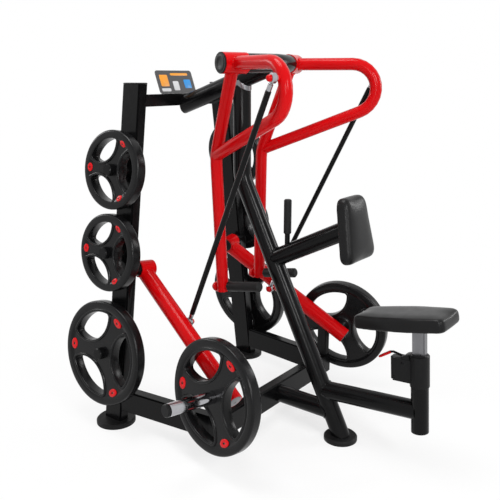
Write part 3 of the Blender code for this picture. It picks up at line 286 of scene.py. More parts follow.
NEARLY_PARALLEL = 0.95
BEAD_SIDES, BEAD_SHARP_TURN = 8, 80.0


def axes_from(axis, upright=UP):
    """Rotation whose Z is the axis and whose Y leans toward upright."""
    z_axis = Vector(axis).normalized()
    upright = Vector(upright).normalized()
    if abs(upright.dot(z_axis)) > NEARLY_PARALLEL:
        upright = Vector((0, 1, 0))
    x_axis = upright.cross(z_axis).normalized()
    return Matrix((x_axis, z_axis.cross(x_axis), z_axis)).transposed()


def placed(origin, axis, upright=UP):
    """Matrix at an origin with Z along an axis."""
    return Matrix.Translation(origin) @ axes_from(axis, upright).to_4x4()


def piece(name, shape, finish, body, place=None, sharp=SHARP_TURN, others=()):
    """Turn a bmesh into a piece that rides on a body."""
    bmesh.ops.recalc_face_normals(shape, faces=shape.faces)
    if place:
        bmesh.ops.transform(shape, matrix=place, verts=shape.verts)
    mesh = bpy.data.meshes.new(name)
    shape.to_mesh(mesh)
    shape.free()
    made = bpy.data.objects.new(name, mesh)
    bpy.context.scene.collection.objects.link(made)
    for used in (finish, *others):
        mesh.materials.append(used.made)
    mesh.shade_smooth()
    mesh.set_sharp_from_angle(angle=math.radians(sharp))
    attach(made, body)
    return made


def loft(shape, rings, closed_ends=True):
    """Skin a list of equal point rings and close both ends."""
    rows = [[shape.verts.new(point) for point in ring] for ring in rings]
    count = len(rows[0])
    for lower, upper in zip(rows, rows[1:]):
        for i in range(count):
            j = (i + 1) % count
            shape.faces.new((lower[i], lower[j], upper[j], upper[i]))
    if closed_ends:
        shape.faces.new(list(reversed(rows[0])))
        shape.faces.new(rows[-1])


def circle(radius, height, steps):
    """Points of a level circle."""
    angles = [2 * math.pi * i / steps for i in range(steps)]
    return [(radius * math.cos(a), radius * math.sin(a), height) for a in angles]


def rounded_rectangle(wide, tall, corner, grow=0.0, steps=4):
    """Plan points of a rectangle with round corners, moved out by grow."""
    points = []
    for sx, sy, start in ((1, 1, 0.0), (-1, 1, 90.0), (-1, -1, 180.0), (1, -1, 270.0)):
        for i in range(steps + 1):
            turn = math.radians(start + 90.0 * i / steps)
            x = sx * (wide / 2 - corner) + (corner + grow) * math.cos(turn)
            y = sy * (tall / 2 - corner) + (corner + grow) * math.sin(turn)
            points.append((x, y))
    return points


def lathe(shape, profile, steps):
    """Closed turned solid from (radius, height) points, bottom to top."""
    loft(shape, [circle(radius, height, steps) for radius, height in profile])


def turned(name, profile, steps, finish, body, place):
    """Turned piece from (radius, height) points."""
    shape = bmesh.new()
    lathe(shape, profile, steps)
    piece(name, shape, finish, body, place)


def bead(name, points, radius, finish, body):
    """Round bead along a closed path of points."""
    shape = bmesh.new()
    count = len(points)
    rows = []
    for i, point in enumerate(points):
        turn = axes_from(points[(i + 1) % count] - points[i - 1])
        ring = [point + turn @ Vector(p) for p in circle(radius, 0.0, BEAD_SIDES)]
        rows.append([shape.verts.new(p) for p in ring])
    for k in range(count):
        lower, upper = rows[k], rows[(k + 1) % count]
        shift = 0
        if k + 1 == count:
            shift = min(range(BEAD_SIDES), key=lambda s: (upper[s].co - lower[0].co).length)
        for i in range(BEAD_SIDES):
            j = (i + 1) % BEAD_SIDES
            over, under = upper[(j + shift) % BEAD_SIDES], upper[(i + shift) % BEAD_SIDES]
            shape.faces.new((lower[i], lower[j], over, under))
    piece(name, shape, finish, body, sharp=BEAD_SHARP_TURN)


# Places on the machine

def mirrored(vector, side):
    """A right-hand vector moved to the given side."""
    return Vector((vector[0] * side, vector[1], vector[2]))


def toed_axis(side, toe):
    """Level axis pointing to a side, turned by a toe angle."""
    return Vector((side * math.cos(toe), math.sin(toe), 0.0))


def toed_forward(side, toe):
    """Level direction toward the user, turned by a toe angle."""
    return Vector((side * math.sin(toe), -math.cos(toe), 0.0))


def post_x(height):
    """Half distance between the post centre lines at a height."""
    return POST_SPREAD - math.tan(POST_SPLAY) * height


def leg_point(height):
    """Point on the leg's centre line."""
    return Vector((0, LEG_FOOT_Y + LEG_SLOPE * height, height))


def spine_z(y):
    """Height of the spine's centre line."""
    return SPINE_START_Z + (SPINE_END_Z - SPINE_START_Z) * (SPINE_BACK_Y - y) / (SPINE_BACK_Y - HEAD_Y)


def arm_frame(side):
    """Hub centre, axis and forward direction of a swinging arm."""
    axis = toed_axis(side, ARM_TOE)
    centre = Vector((0, HEAD_Y, SPINE_END_Z)) + axis * (HEAD_REACH + GAP + HUB_LENGTH / 2)
    return centre, axis, toed_forward(side, ARM_TOE)


def arm_foot(side):
    """Lower end of an arm's bar."""
    centre, axis, forward = arm_frame(side)
    return centre - forward * ARM_KINK_BACK - UP * ARM_DROP - axis * ARM_LEAN


def rod_upper(side):
    """Middle of the tie rod's upper eye."""
    ahead = LOOP_REACH + LOOP_BEND * math.cos(ROD_BOSS_ANGLE)
    rise = LOOP_BEND * (math.sin(ROD_BOSS_ANGLE) - 1.0)
    root = arm_frame(side)[0] + toed_forward(side, LOOP_TOE) * ahead + UP * rise
    return root + toed_axis(side, ROD_TOE) * (ARM_TUBE_RADIUS + ROD_BOSS + GAP + EYE_THICKNESS / 2)


def lever_frame(side):
    """Pivot, axis, direction and height direction of a weight lever."""
    axis = mirrored(LEVER_AXIS, side)
    level = Vector((0, -1, 0))
    level = (level - axis * level.dot(axis)).normalized()
    lower = (-UP + axis * UP.dot(axis)).normalized()
    along = (level * math.cos(LEVER_DROP) + lower * math.sin(LEVER_DROP)).normalized()
    high = axis.cross(along)
    return mirrored(LEVER_PIVOT, side), axis, along, high if high.z > 0 else -high


def lever_point(side, distance):
    """Point on the centre line of a weight lever's tube."""
    pivot, _, along, high = lever_frame(side)
    return pivot - high * LEVER_SET + along * distance


def rod_lower(side):
    """Middle of the tie rod's lower eye."""
    _, axis, _, high = lever_frame(side)
    offset = LEVER_RADIUS + LOW_BOSS + OPEN_CLEARANCE + EYE_THICKNESS / 2
    return lever_point(side, ROD_SEAT) - high * ROD_SEAT_DROP - axis * offset


def seat_point(height_along):
    """Point on the leaning seat post's axis, measured up from its lower end."""
    return Vector((0, SEAT_POST_Y, SEAT_POST_BOTTOM)) + SEAT_LEAN * height_along


# Weight plates

LIP_HALF, LIP_HEIGHT = 0.0062, 0.0060
LIP_OFFSETS = (0.0, 0.0008, 0.0026, 0.0062, 0.0098, 0.0116, 0.0126, 0.0165)
CLEAR_OF_LIP = 0.0195
PLATE_STEPS, SLOT_STEPS = 96, 56
SLOT_SHARES = (0.32, 0.14, 0.40, 0.14)
FACE_SET, PLATE_SHARP_TURN = 0.0005, 50.0
RIM_SLOPE = (-0.013, -0.009, -0.005, -0.001, 0.003)
HUB_STEPS, WEB_STEP = (0.0, 0.0035, 0.007, PLATE_ROUND), 0.012
BORE_STEPS = (PLATE_BORE + 0.006, 0.038)
SHOULDER_TURNS = (0, 22, 45, 64, 80, 90)
INSERT_LONG, INSERT_WIDE, INSERT_REACH = 0.215, 0.145, 0.775
INSERT_RINGS = ((1.0, -0.0040), (1.0, 0.0010), (0.92, 0.0021), (0.62, 0.0026), (0.26, 0.0027), (0.22, 0.0020))
INSERT_STEPS = 32


def smoothstep(value, low, high):
    """Smooth rise from 0 to 1 between two values."""
    t = max(0.0, min(1.0, (value - low) / (high - low)))
    return t * t * (3 - 2 * t)


def slot_arcs(radius):
    """Sizes of a lens-shaped grip slot: outer arc, inner arc, corner, and where their centres lie."""
    outer, bulge, corner = SLOT_OUTER * radius, SLOT_BULGE * radius, SLOT_CORNER * radius
    far = SLOT_INNER * radius + bulge
    reach, back = outer - corner, bulge - corner
    first = math.acos((reach ** 2 + far ** 2 - back ** 2) / (2 * reach * far))
    last = math.atan2(reach * math.sin(first), reach * math.cos(first) - far)
    return outer, bulge, corner, far, reach, first, last


def slot_distance(point, radius, middles):
    """Distance of a plan point from the nearest grip slot's edge, negative inside."""
    outer, bulge, corner, far, reach, first, last = slot_arcs(radius)
    r = math.hypot(point[0], point[1])
    best = 1.0
    for middle in middles:
        turn = math.atan2(point[1], point[0]) - middle
        x, y = r * math.cos(turn), abs(r * math.sin(turn))
        from_corner = (x - reach * math.cos(first), y - reach * math.sin(first))
        if first <= math.atan2(from_corner[1], from_corner[0]) <= last:
            gap = math.hypot(*from_corner) - corner
        else:
            gap = max(r - outer, math.hypot(x - far, y) - bulge)
        best = min(best, gap)
    return best


def slot_ring(radius, middle, offset):
    """Outline of a grip slot, moved out by an offset."""
    outer, bulge, corner, far, reach, first, last = slot_arcs(radius)
    high = (reach * math.cos(first), reach * math.sin(first))
    runs = (((0.0, 0.0), outer + offset, -first, first),
            (high, corner + offset, first, last),
            ((far, 0.0), bulge + offset, last, 2 * math.pi - last),
            ((high[0], -high[1]), corner + offset, -last, -first))
    cosine, sine = math.cos(middle), math.sin(middle)
    points = []
    for (centre, size, start, stop), share in zip(runs, SLOT_SHARES):
        steps = round(SLOT_STEPS * share)
        for i in range(steps):
            turn = start + (stop - start) * i / steps
            x, y = centre[0] + size * math.cos(turn), centre[1] + size * math.sin(turn)
            points.append((x * cosine - y * sine, x * sine + y * cosine))
    return points


def plate_height(point, radius, middles, back):
    """Half thickness of a plate at a plan point: web, raised rim, round shoulder and slot lips."""
    r = math.hypot(*point)
    rim = radius - PLATE_RIM
    step = PLATE_THICKNESS / 2 - FACE_SET - PLATE_WEB
    rise = smoothstep(r, rim + RIM_SLOPE[0], rim + RIM_SLOPE[-1])
    height = PLATE_WEB + step * rise
    gap = slot_distance(point, radius, middles)
    if 0.0 <= gap < 2 * LIP_HALF:
        height += LIP_HEIGHT * (1 - rise) * math.sqrt(max(0.0, 1 - ((gap - LIP_HALF) / LIP_HALF) ** 2))
    if back:
        height += step * (1 - smoothstep(r, PLATE_HUB, PLATE_HUB + PLATE_ROUND))
    shoulder = r - (radius - PLATE_ROUND)
    if shoulder > 0:
        height -= PLATE_ROUND - math.sqrt(max(0.0, PLATE_ROUND ** 2 - shoulder ** 2))
    return height


def plate_plan(radius, middles):
    """Points and triangles of a plate's face, with its bore and grip slots left open."""
    rim = radius - PLATE_RIM
    points, edges = [], []

    def add_loop(loop):
        first = len(points)
        points.extend(Vector(p) for p in loop)
        edges.extend((first + i, first + (i + 1) % len(loop)) for i in range(len(loop)))

    for middle in middles:
        for offset in LIP_OFFSETS:
            add_loop(slot_ring(radius, middle, offset))
    shoulder = [radius - PLATE_ROUND * (1 - math.sin(math.radians(a))) for a in SHOULDER_TURNS]
    web = [*BORE_STEPS, *(PLATE_HUB + step for step in HUB_STEPS)]
    while web[-1] + WEB_STEP < rim + RIM_SLOPE[0]:
        web.append(web[-1] + WEB_STEP)
    slope = [rim + step for step in RIM_SLOPE]
    for r in [PLATE_BORE] + web + slope + shoulder:
        ring = [p[:2] for p in circle(r, 0.0, PLATE_STEPS)]
        if r in (PLATE_BORE, shoulder[-1]):
            add_loop(ring)
        else:
            points.extend(Vector(p) for p in ring if slot_distance(p, radius, middles) > CLEAR_OF_LIP)
    plan, _, faces, *_ = delaunay_2d_cdt(points, edges, [], 0, 1e-7)
    kept = []
    for face in faces:
        middle = sum((plan[i] for i in face), Vector((0, 0))) / len(face)
        solid = slot_distance(middle, radius, middles) > 0
        if solid and PLATE_BORE * math.cos(math.pi / PLATE_STEPS) < middle.length:
            kept.append(face)
    return plan, kept


def plate_shape(radius, side):
    """Closed mesh of a grip plate, its axis along Z and its outer face up."""
    middles = [side * (SPOKE_TURN + math.radians(60.0 + 120.0 * k)) for k in range(3)]
    plan, faces = plate_plan(radius, middles)
    shape = bmesh.new()
    front = [shape.verts.new((*p, plate_height(p, radius, middles, False))) for p in plan]
    rear = [shape.verts.new((*p, -plate_height(p, radius, middles, True))) for p in plan]
    borders = {}
    for face in faces:
        shape.faces.new([front[i] for i in face])
        shape.faces.new([rear[i] for i in reversed(face)])
        for a, b in zip(face, face[1:] + face[:1]):
            borders.setdefault(frozenset((a, b)), []).append((a, b))
    for uses in borders.values():
        if len(uses) == 1:
            a, b = uses[0]
            shape.faces.new((front[b], front[a], rear[a], rear[b]))
    loose = [v for v in shape.verts if not v.link_faces]
    bmesh.ops.delete(shape, geom=loose, context="VERTS")
    return shape


def oval(length, width, height):
    """Points of a level ellipse."""
    return [(x * length, y * width, height) for x, y, _ in circle(0.5, 0.0, INSERT_STEPS)]


def insert_shape(radius, side):
    """Three oval inserts of a plate, each a shallow dome with a small dark mark."""
    shape = bmesh.new()
    long, wide, reach = INSERT_LONG * radius, INSERT_WIDE * radius, INSERT_REACH * radius
    inner = plate_height((reach - wide / 2, 0.0), radius, (), False)
    outer = plate_height((reach + wide / 2, 0.0), radius, (), False)
    lean = Matrix.Rotation(-math.asin((outer - inner) / wide), 4, "Y")
    tilt = lean @ Matrix.Rotation(math.pi / 2, 4, "Z")
    dark_band = len(INSERT_RINGS) - 2
    for k in range(3):
        turn = Matrix.Rotation(side * (SPOKE_TURN + math.radians(120.0 * k)), 4, "Z")
        place = turn @ Matrix.Translation((reach, 0.0, (inner + outer) / 2)) @ tilt
        rings = []
        for share, height in INSERT_RINGS:
            rings.append([place @ Vector(point) for point in oval(long * share, wide * share, height)])
        start = len(shape.faces) + dark_band * INSERT_STEPS
        loft(shape, rings)
        shape.faces.ensure_lookup_table()
        shape.faces[len(shape.faces) - 1].material_index = 1
        for face in shape.faces[start:start + INSERT_STEPS]:
            face.material_index = 1
    return shape


def plate_place(centre, axis, side):
    """Matrix of a plate: X down, Z outward along its peg."""
    down = (Vector((0, -1, 0)).cross(axis) * side).normalized()
    across = axis.cross(down)
    return Matrix.Translation(centre) @ Matrix((down, across, axis)).transposed().to_4x4()


def plates():
    """Detailed grip plates in place of the plain ones, with their enamel inserts."""
    spots = []
    for label, side in SIDES:
        axis = Vector((side * math.cos(POST_SPLAY), 0.0, math.sin(POST_SPLAY)))
        for index, (height, radius) in enumerate(STORES):
            face = Vector((side * post_x(height), POST_Y + STORE_SET_BACK, height)) + axis * POST_WIDTH / 2
            centre = face + axis * (PLATE_STANDOFF + PLATE_THICKNESS / 2)
            spots.append(("stored_plate_%s_%d" % (label, index + 1), radius, centre, axis, side))
        axis = lever_frame(side)[1]
        centre = lever_point(side, LEVER_LENGTH)
        centre += axis * (LEVER_RADIUS + HORN_FLANGE + GAP + PLATE_THICKNESS / 2)
        spots.append(("loaded_plate_" + label, BIG_PLATE, centre, axis, side))
    for node, radius, centre, axis, side in spots:
        place = plate_place(centre, axis.normalized(), side)
        shape = plate_shape(radius, side)
        made = piece("dressed_" + node, shape, PLATE, node, place, PLATE_SHARP_TURN)
        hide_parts(node)
        shape = insert_shape(radius, side)
        piece("inserts_" + node, shape, INSERT, node, place, PLATE_SHARP_TURN, others=(PLATE,))


# Cushions

SEAT_RINGS = ((0.0, 0.965), (0.06, 0.985), (0.20, 0.996), (0.50, 1.0), (0.78, 0.997), (0.90, 0.984),
              (0.965, 0.955), (0.995, 0.90), (1.0, 0.65), (1.0, 0.30))
CHEST_RINGS = ((0.0, 0.960), (0.05, 0.982), (0.16, 0.996), (0.40, 1.0), (0.62, 0.990), (0.78, 0.960),
               (0.90, 0.905), (0.975, 0.82), (1.0, 0.62), (1.0, 0.30))
CHEST_CORNER_STEPS = 8
SEAT_TAPER, SEAT_BOW, SEAT_CORNER = 0.12, 0.20, 0.020
SEAT_SIDE_STEPS, SEAT_CORNER_STEPS = 18, 6
PAD_START, PAD_VOXEL, PAD_FRAMES, PAD_REACH = 0.985, 0.005, 20, 0.006
PAD_PINNED, PAD_TAUT, PAD_SMOOTH = 0.006, 60, 4
PAD_PRESSURE, PAD_STRETCH, PAD_BEND = 4.0, 25.0, 6.0


def chest_outline():
    """Plan of the chest pad: wider at its lower edge, with round corners."""
    narrowing = CHEST_TOP / CHEST_WIDE - 1.0
    plan = rounded_rectangle(CHEST_WIDE, CHEST_TALL, CHEST_CORNER, steps=CHEST_CORNER_STEPS)
    return [(x * (1.0 + narrowing * (0.5 + y / CHEST_TALL)), y) for x, y in plan]


def seat_outline():
    """Plan of the seat pad: bowed sides between two short straight ends, wider toward the front."""
    half = SEAT_LONG / 2
    turns = [math.radians(90.0 / SEAT_CORNER_STEPS * i) for i in range(SEAT_CORNER_STEPS + 1)]
    corner = [-half + SEAT_CORNER * (1 - math.cos(turn)) for turn in turns]
    middle = [(half - SEAT_CORNER) * (2 * i / SEAT_SIDE_STEPS - 1) for i in range(1, SEAT_SIDE_STEPS)]
    side = []
    for y in corner + middle + [-y for y in reversed(corner)]:
        share = y / half
        wide = SEAT_WIDE / 2 * (1.0 - SEAT_TAPER / 2 * share - SEAT_BOW * share ** 2)
        inward = max(0.0, abs(y) - half + SEAT_CORNER)
        side.append((wide - SEAT_CORNER + math.sqrt(max(0.0, SEAT_CORNER ** 2 - inward ** 2)), y))
    return side + [(-x, y) for x, y in reversed(side)]


def applied(item):
    """The mesh that an object shows, with its modifiers cleared."""
    bpy.context.view_layer.update()
    shown = item.evaluated_get(bpy.context.evaluated_depsgraph_get())
    mesh = bpy.data.meshes.new_from_object(shown)
    item.modifiers.clear()
    item.data = mesh
    return mesh


def neighbours(mesh):
    """Points that share an edge with each point."""
    near = [[] for _ in mesh.vertices]
    for edge in mesh.edges:
        first, second = edge.vertices
        near[first].append(second)
        near[second].append(first)
    return near


def evened(values, near, rounds):
    """Vectors on a mesh, each drawn halfway to its neighbours' mean, over and over."""
    for _ in range(rounds):
        means = [sum((values[j] for j in around), Vector()) / len(around) for around in near]
        values = [value.lerp(mean, 0.5) for value, mean in zip(values, means)]
    return values


def inflate(item):
    """Swell a pad as stuffed cloth with its back held flat, and limit how far any point moves."""
    remesh = item.modifiers.new("remesh", "REMESH")
    remesh.mode = "VOXEL"
    remesh.voxel_size = PAD_VOXEL
    mesh = applied(item)
    rest = [v.co.copy() for v in mesh.vertices]
    held = item.vertex_groups.new(name="held")
    held.add([v.index for v in mesh.vertices if v.co.z < PAD_PINNED], 1.0, "REPLACE")
    cloth = item.modifiers.new("cloth", "CLOTH")
    cloth.settings.vertex_group_mass = "held"
    cloth.settings.use_pressure = True
    cloth.settings.uniform_pressure_force = PAD_PRESSURE
    cloth.settings.tension_stiffness = PAD_STRETCH
    cloth.settings.compression_stiffness = PAD_STRETCH
    cloth.settings.bending_stiffness = PAD_BEND
    cloth.settings.effector_weights.gravity = 0.0
    cloth.point_cache.frame_end = PAD_FRAMES
    scene = bpy.context.scene
    for number in range(1, PAD_FRAMES + 1):
        scene.frame_set(number)
    mesh = applied(item)
    scene.frame_set(1)
    shifts = []
    for vert, start in zip(mesh.vertices, rest):
        moved = vert.co - start
        shifts.append(moved * min(1.0, PAD_REACH / max(moved.length, 1e-9)))
    near = neighbours(mesh)
    shifts = evened(shifts, near, PAD_TAUT)
    swollen = evened([start + shift for start, shift in zip(rest, shifts)], near, PAD_SMOOTH)
    for vert, place in zip(mesh.vertices, swollen):
        vert.co = place
    item.vertex_groups.clear()


def cushion(node, place, points, profile, thickness, body):
    """Stuffed pad in place of a CAD pad: flat back, full sides and a crowned front."""
    shape = bmesh.new()
    rings = [[(x * s * PAD_START, y * s * PAD_START, h * thickness * PAD_START) for x, y in points]
             for h, s in profile]
    loft(shape, rings)
    made = piece("dressed_" + node, shape, VINYL, body, sharp=180.0)
    inflate(made)
    made.data.transform(place)
    made.data.materials.clear()
    made.data.materials.append(VINYL.made)
    made.data.shade_smooth()
    smooth = made.modifiers.new("smooth", "SUBSURF")
    smooth.levels = 1
    smooth.render_levels = 1
    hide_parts(node)


def cushions():
    """Chest pad and seat pad."""
    facing = Vector((0, -math.cos(CHEST_TILT), math.sin(CHEST_TILT)))
    back = leg_point(CHEST_BEAM_HEIGHT) + CHEST_AXIS * CHEST_BEAM_LENGTH + facing * (CHEST_BRACKET + 2 * GAP)
    cushion("chest_pad", placed(back, facing), chest_outline(), CHEST_RINGS, CHEST_THICK, "frame")
    up = Vector((0, math.sin(SEAT_TILT), math.cos(SEAT_TILT)))
    base = seat_point(SEAT_TUBE_TOP) + up * (SEAT_PLATE_SET + SEAT_PLATE + GAP)
    place = placed(base, up, (0, 1, 0)) @ Matrix.Translation((0, SEAT_SHIFT, 0))
    cushion("seat_pad", place, seat_outline(), SEAT_RINGS, SEAT_THICK, "seat")


# Fasteners and trim

DOME_FOOT, DOME_EDGE, DOME_TIP, DOME_STEPS = 0.96, 0.12, 0.1, 24
DOME_TURNS = (15, 35, 55, 72)
SOCKET_PROFILE = ((1.0, 0.97), (0.97, 0.55), (0.5, 0.5))
WASHER_PROFILE, WASHER_STEPS, WASHER_GAP = ((1.32, 0.0), (1.32, 0.13), (1.22, 0.2)), 28, 0.0001
BOLT_PROFILE, BOLT_SIDES = ((1.0, 0.0), (1.0, 0.9), (0.86, 1.0), (0.55, 0.96)), 6
BOLT_HEIGHT, BOLT_SHARP_TURN = 0.75, 25.0
UPPER_BOLT_RADIUS, UPPER_BOLT_HEIGHT, LOWER_BOLT_RADIUS = 0.0125, 0.016, 0.011
RACE_PROFILE, RACE_STEPS = ((0.0112, 0.0), (0.0128, 0.0008), (0.0128, 0.0030), (0.0104, 0.0034)), 28
FERRULE_PROFILE, FERRULE_STEPS = ((0.0078, 0.0), (0.0094, 0.0012), (0.0094, 0.0245), (0.0086, 0.0256)), 24
FERRULE_START = 0.0215
HUB_FACE_PROFILE = ((0.031, -0.0005), (0.031, 0.0006), (0.029, 0.0012), (0.020, 0.0013), (0.0185, 0.0006),
                    (0.004, 0.0004))
HUB_FACE_STEPS = 40
HANDLE_BALL_RADIUS, HANDLE_BALL_HEIGHT = 0.0225, 0.031
END_CAP_RADIUS, END_CAP_HEIGHT, END_CAP_SOCKET = 0.031, 0.004, 0.006
LEVER_CAP_RADIUS, LEVER_CAP_HEIGHT, LEVER_CAP_SOCKET = 0.030, 0.006, 0.007


def bolt(name, origin, axis, radius, finish, body):
    """Hexagon head with a washer, standing on a face."""
    shape = bmesh.new()
    lathe(shape, [(radius * r, radius * h) for r, h in WASHER_PROFILE], WASHER_STEPS)
    low = radius * WASHER_PROFILE[-1][1] + WASHER_GAP
    height = radius * BOLT_HEIGHT
    lathe(shape, [(radius * r, height * h + low) for r, h in BOLT_PROFILE], BOLT_SIDES)
    piece(name, shape, finish, body, placed(origin, axis), BOLT_SHARP_TURN)


def dome(name, origin, axis, radius, height, finish, body, socket=0.0):
    """Round domed head, with an optional round socket."""
    profile = [(radius * DOME_FOOT, 0.0), (radius, height * DOME_EDGE)]
    for angle in DOME_TURNS:
        a = math.radians(angle)
        profile.append((radius * math.cos(a), height * (DOME_EDGE + (1 - DOME_EDGE) * math.sin(a))))
    if socket:
        profile += [(socket * r, height * h) for r, h in SOCKET_PROFILE]
    else:
        profile.append((radius * DOME_TIP, height))
    turned(name, profile, DOME_STEPS, finish, body, placed(origin, axis))


def rod_fittings():
    """Bolts, ball races and ferrules of the tie rods."""
    half = EYE_THICKNESS / 2 + GAP
    for label, side in SIDES:
        body = "rod_" + label
        upper, lower = rod_upper(side), rod_lower(side)
        axis, low_axis = toed_axis(side, ROD_TOE), lever_frame(side)[1]
        along = (lower - upper).normalized()
        outer = upper + axis * half
        dome("upper_bolt_" + label, outer, axis, UPPER_BOLT_RADIUS, UPPER_BOLT_HEIGHT, RED, body)
        bolt("lower_bolt_" + label, lower - low_axis * half, -low_axis, LOWER_BOLT_RADIUS, RED, body)
        place = placed(upper - axis * half, -axis)
        turned("upper_race_" + label, RACE_PROFILE, RACE_STEPS, BRIGHT, body, place)
        for end, start, way in (("upper", upper, along), ("lower", lower, -along)):
            place = placed(start + way * FERRULE_START, way)
            turned("ferrule_%s_%s" % (end, label), FERRULE_PROFILE, FERRULE_STEPS, BRIGHT, body, place)


def hub_details():
    """Faces of the arm hub caps, ball ends of the handles, and caps of the levers' ends and hubs."""
    for label, side in SIDES:
        arm, lever = "arm_" + label, "lever_" + label
        centre, axis, _ = arm_frame(side)
        place = placed(centre + axis * (HUB_LENGTH / 2 + GAP + HUB_CAP), axis)
        turned("hub_cap_face_" + label, HUB_FACE_PROFILE, HUB_FACE_STEPS, PLASTIC, arm, place)
        back = Vector((0, math.cos(HANDLE_RISE), -math.sin(HANDLE_RISE)))
        spot = arm_foot(side) + UP * HANDLE_ABOVE + back * (ARM_TUBE_RADIUS + GAP)
        dome("handle_ball_" + label, spot, back, HANDLE_BALL_RADIUS, HANDLE_BALL_HEIGHT, RED, arm)
        pivot, axis, along, _ = lever_frame(side)
        end = lever_point(side, LEVER_LENGTH + LEVER_OVERHANG + GAP)
        dome("lever_end_cap_" + label, end, along, END_CAP_RADIUS, END_CAP_HEIGHT, BRUSHED, lever,
             END_CAP_SOCKET)
        inner = pivot - axis * (LEVER_HUB_LENGTH / 2 + GAP)
        dome("lever_hub_cap_" + label, inner, -axis, LEVER_CAP_RADIUS, LEVER_CAP_HEIGHT, PLASTIC, lever,
             LEVER_CAP_SOCKET)


# Seat adjuster

LINK_SECTIONS = ((0.0, 0.0035), (0.03, 0.0048), (0.88, 0.0048))
PADDLE_SECTIONS = ((0.10, 0.0052, 0.0050), (0.13, 0.0074, 0.0058), (0.30, 0.0092, 0.0060),
                   (0.60, 0.0098, 0.0060), (0.84, 0.0088, 0.0056), (0.95, 0.0064, 0.0044),
                   (1.0, 0.0026, 0.0020))
PADDLE_STEPS, PADDLE_SHARP_TURN = 20, 45.0
FAIRING_START, FAIRING_CREST, FAIRING_RUN, FAIRING_HEIGHT = 0.030, 0.034, 0.030, 0.0185
FAIRING_ENDS = ((-0.0245, 0.80), (-0.0235, 0.93), (-0.0205, 1.0), (0.0205, 1.0), (0.0235, 0.93),
                (0.0245, 0.80))
SCREW_SPOTS = ((0.060, 0.016), (0.096, 0.078))
SCREW_RADIUS, SCREW_HEIGHT, SCREW_SOCKET = 0.0056, 0.0026, 0.0022


def release_lever():
    """Release lever of the seat, with a black link and a red paddle grip."""
    level = seat_point(COLLAR_END - HOUSING_DROP)
    root = level + SEAT_BACK * (HOUSING_DEEP - SEAT_LEVER_LINK) + SEAT_LEAN * (SEAT_LEVER_RADIUS + GAP)
    middle = root + SEAT_BACK * SEAT_LEVER_LINK + SEAT_LEAN * SEAT_LEVER_RISE
    tip = middle + SEAT_BACK * (SEAT_LEVER_LENGTH - SEAT_LEVER_LINK) - SEAT_LEAN * SEAT_LEVER_DROP
    link, grip = (middle - root).normalized(), (tip - middle).normalized()
    sections = [(root.lerp(middle, t), link, w, w) for t, w in LINK_SECTIONS]
    sections += [(middle.lerp(tip, t), grip, wide, high) for t, wide, high in PADDLE_SECTIONS]
    rings = []
    for centre, along, wide, high in sections:
        normal = along.cross(ACROSS)
        ring = circle(1.0, 0.0, PADDLE_STEPS)
        rings.append([centre + ACROSS * x * wide + normal * y * high for x, y, _ in ring])
    shape = bmesh.new()
    loft(shape, rings)
    shape.faces.ensure_lookup_table()
    for face in shape.faces[:len(LINK_SECTIONS) * PADDLE_STEPS]:
        face.material_index = 1
    shape.faces[len(shape.faces) - 2].material_index = 1
    made = piece("dressed_seat_lever", shape, RED, "seat_release", sharp=PADDLE_SHARP_TURN, others=(BLACK,))
    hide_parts("seat_lever")


def adjuster_trim():
    """Fairing and screws of the seat's adjuster housing."""
    level = seat_point(COLLAR_END - HOUSING_DROP)
    profile = [(FAIRING_START, 0.0)]
    for turn in range(0, 91, 10):
        a = math.radians(turn)
        profile.append((FAIRING_CREST + FAIRING_RUN * math.sin(a), FAIRING_HEIGHT * math.cos(a)))
    rings = []
    for x, share in FAIRING_ENDS:
        edge = level + ACROSS * x
        rings.append([edge + SEAT_BACK * b + SEAT_LEAN * (h * share + GAP) for b, h in profile])
    shape = bmesh.new()
    loft(shape, rings)
    piece("adjuster_fairing", shape, PLASTIC, "frame")
    for label, side in SIDES:
        for index, (b, h) in enumerate(SCREW_SPOTS):
            spot = level + ACROSS * side * (HOUSING_WIDE / 2 + GAP) + SEAT_BACK * b - SEAT_LEAN * h
            dome("housing_screw_%s_%d" % (label, index + 1), spot, ACROSS * side, SCREW_RADIUS, SCREW_HEIGHT,
                 BLACK, "frame", SCREW_SOCKET)


# Caps, collar and placard

CAP_CORNER, CAP_SHARP_TURN = 0.008, 60.0
CAP_RINGS = ((-0.0015, 0.0), (0.0, 0.0008), (0.0, 0.0032), (-0.0016, 0.0048), (-0.006, 0.0054))
COLLAR_RINGS = ((0.0384, 0.0), (0.0398, 0.0004), (0.0398, 0.019), (0.0384, 0.0196))
COLLAR_STEPS, COLLAR_SET, COLLAR_SHARP_TURN = 40, 0.0006, 40.0
PANEL_CORNER, PANEL_SET = 0.005, 0.0001
PANEL_RINGS = ((0.0, 0.0), (0.0, 0.00025), (-0.0004, 0.0004))
AMBER, PALE, BLUE = (0.78, 0.30, 0.02), (0.62, 0.63, 0.64), (0.02, 0.25, 0.62)
PANELS = (("amber", AMBER, 0.030, 0.034, 0.112, 0.011), ("amber_tile", AMBER, -0.072, 0.006, 0.050, 0.052),
          ("pale_tile", PALE, -0.004, -0.018, 0.036, 0.042), ("pale_bar", PALE, -0.072, -0.036, 0.056, 0.014),
          ("blue_tile", BLUE, 0.072, -0.010, 0.044, 0.040))


def post_caps():
    """Plastic caps on the open tops of the posts."""
    wide = POST_WIDTH / math.cos(POST_SPLAY)
    for label, side in SIDES:
        rings = []
        for grow, height in CAP_RINGS:
            plan = rounded_rectangle(wide, POST_DEPTH, CAP_CORNER, grow)
            rings.append([(x, y, height) for x, y in plan])
        shape = bmesh.new()
        loft(shape, rings)
        top = Vector((side * post_x(POST_HEIGHT), POST_Y, POST_HEIGHT + GAP))
        piece("post_cap_" + label, shape, PLASTIC, "frame", Matrix.Translation(top), CAP_SHARP_TURN)


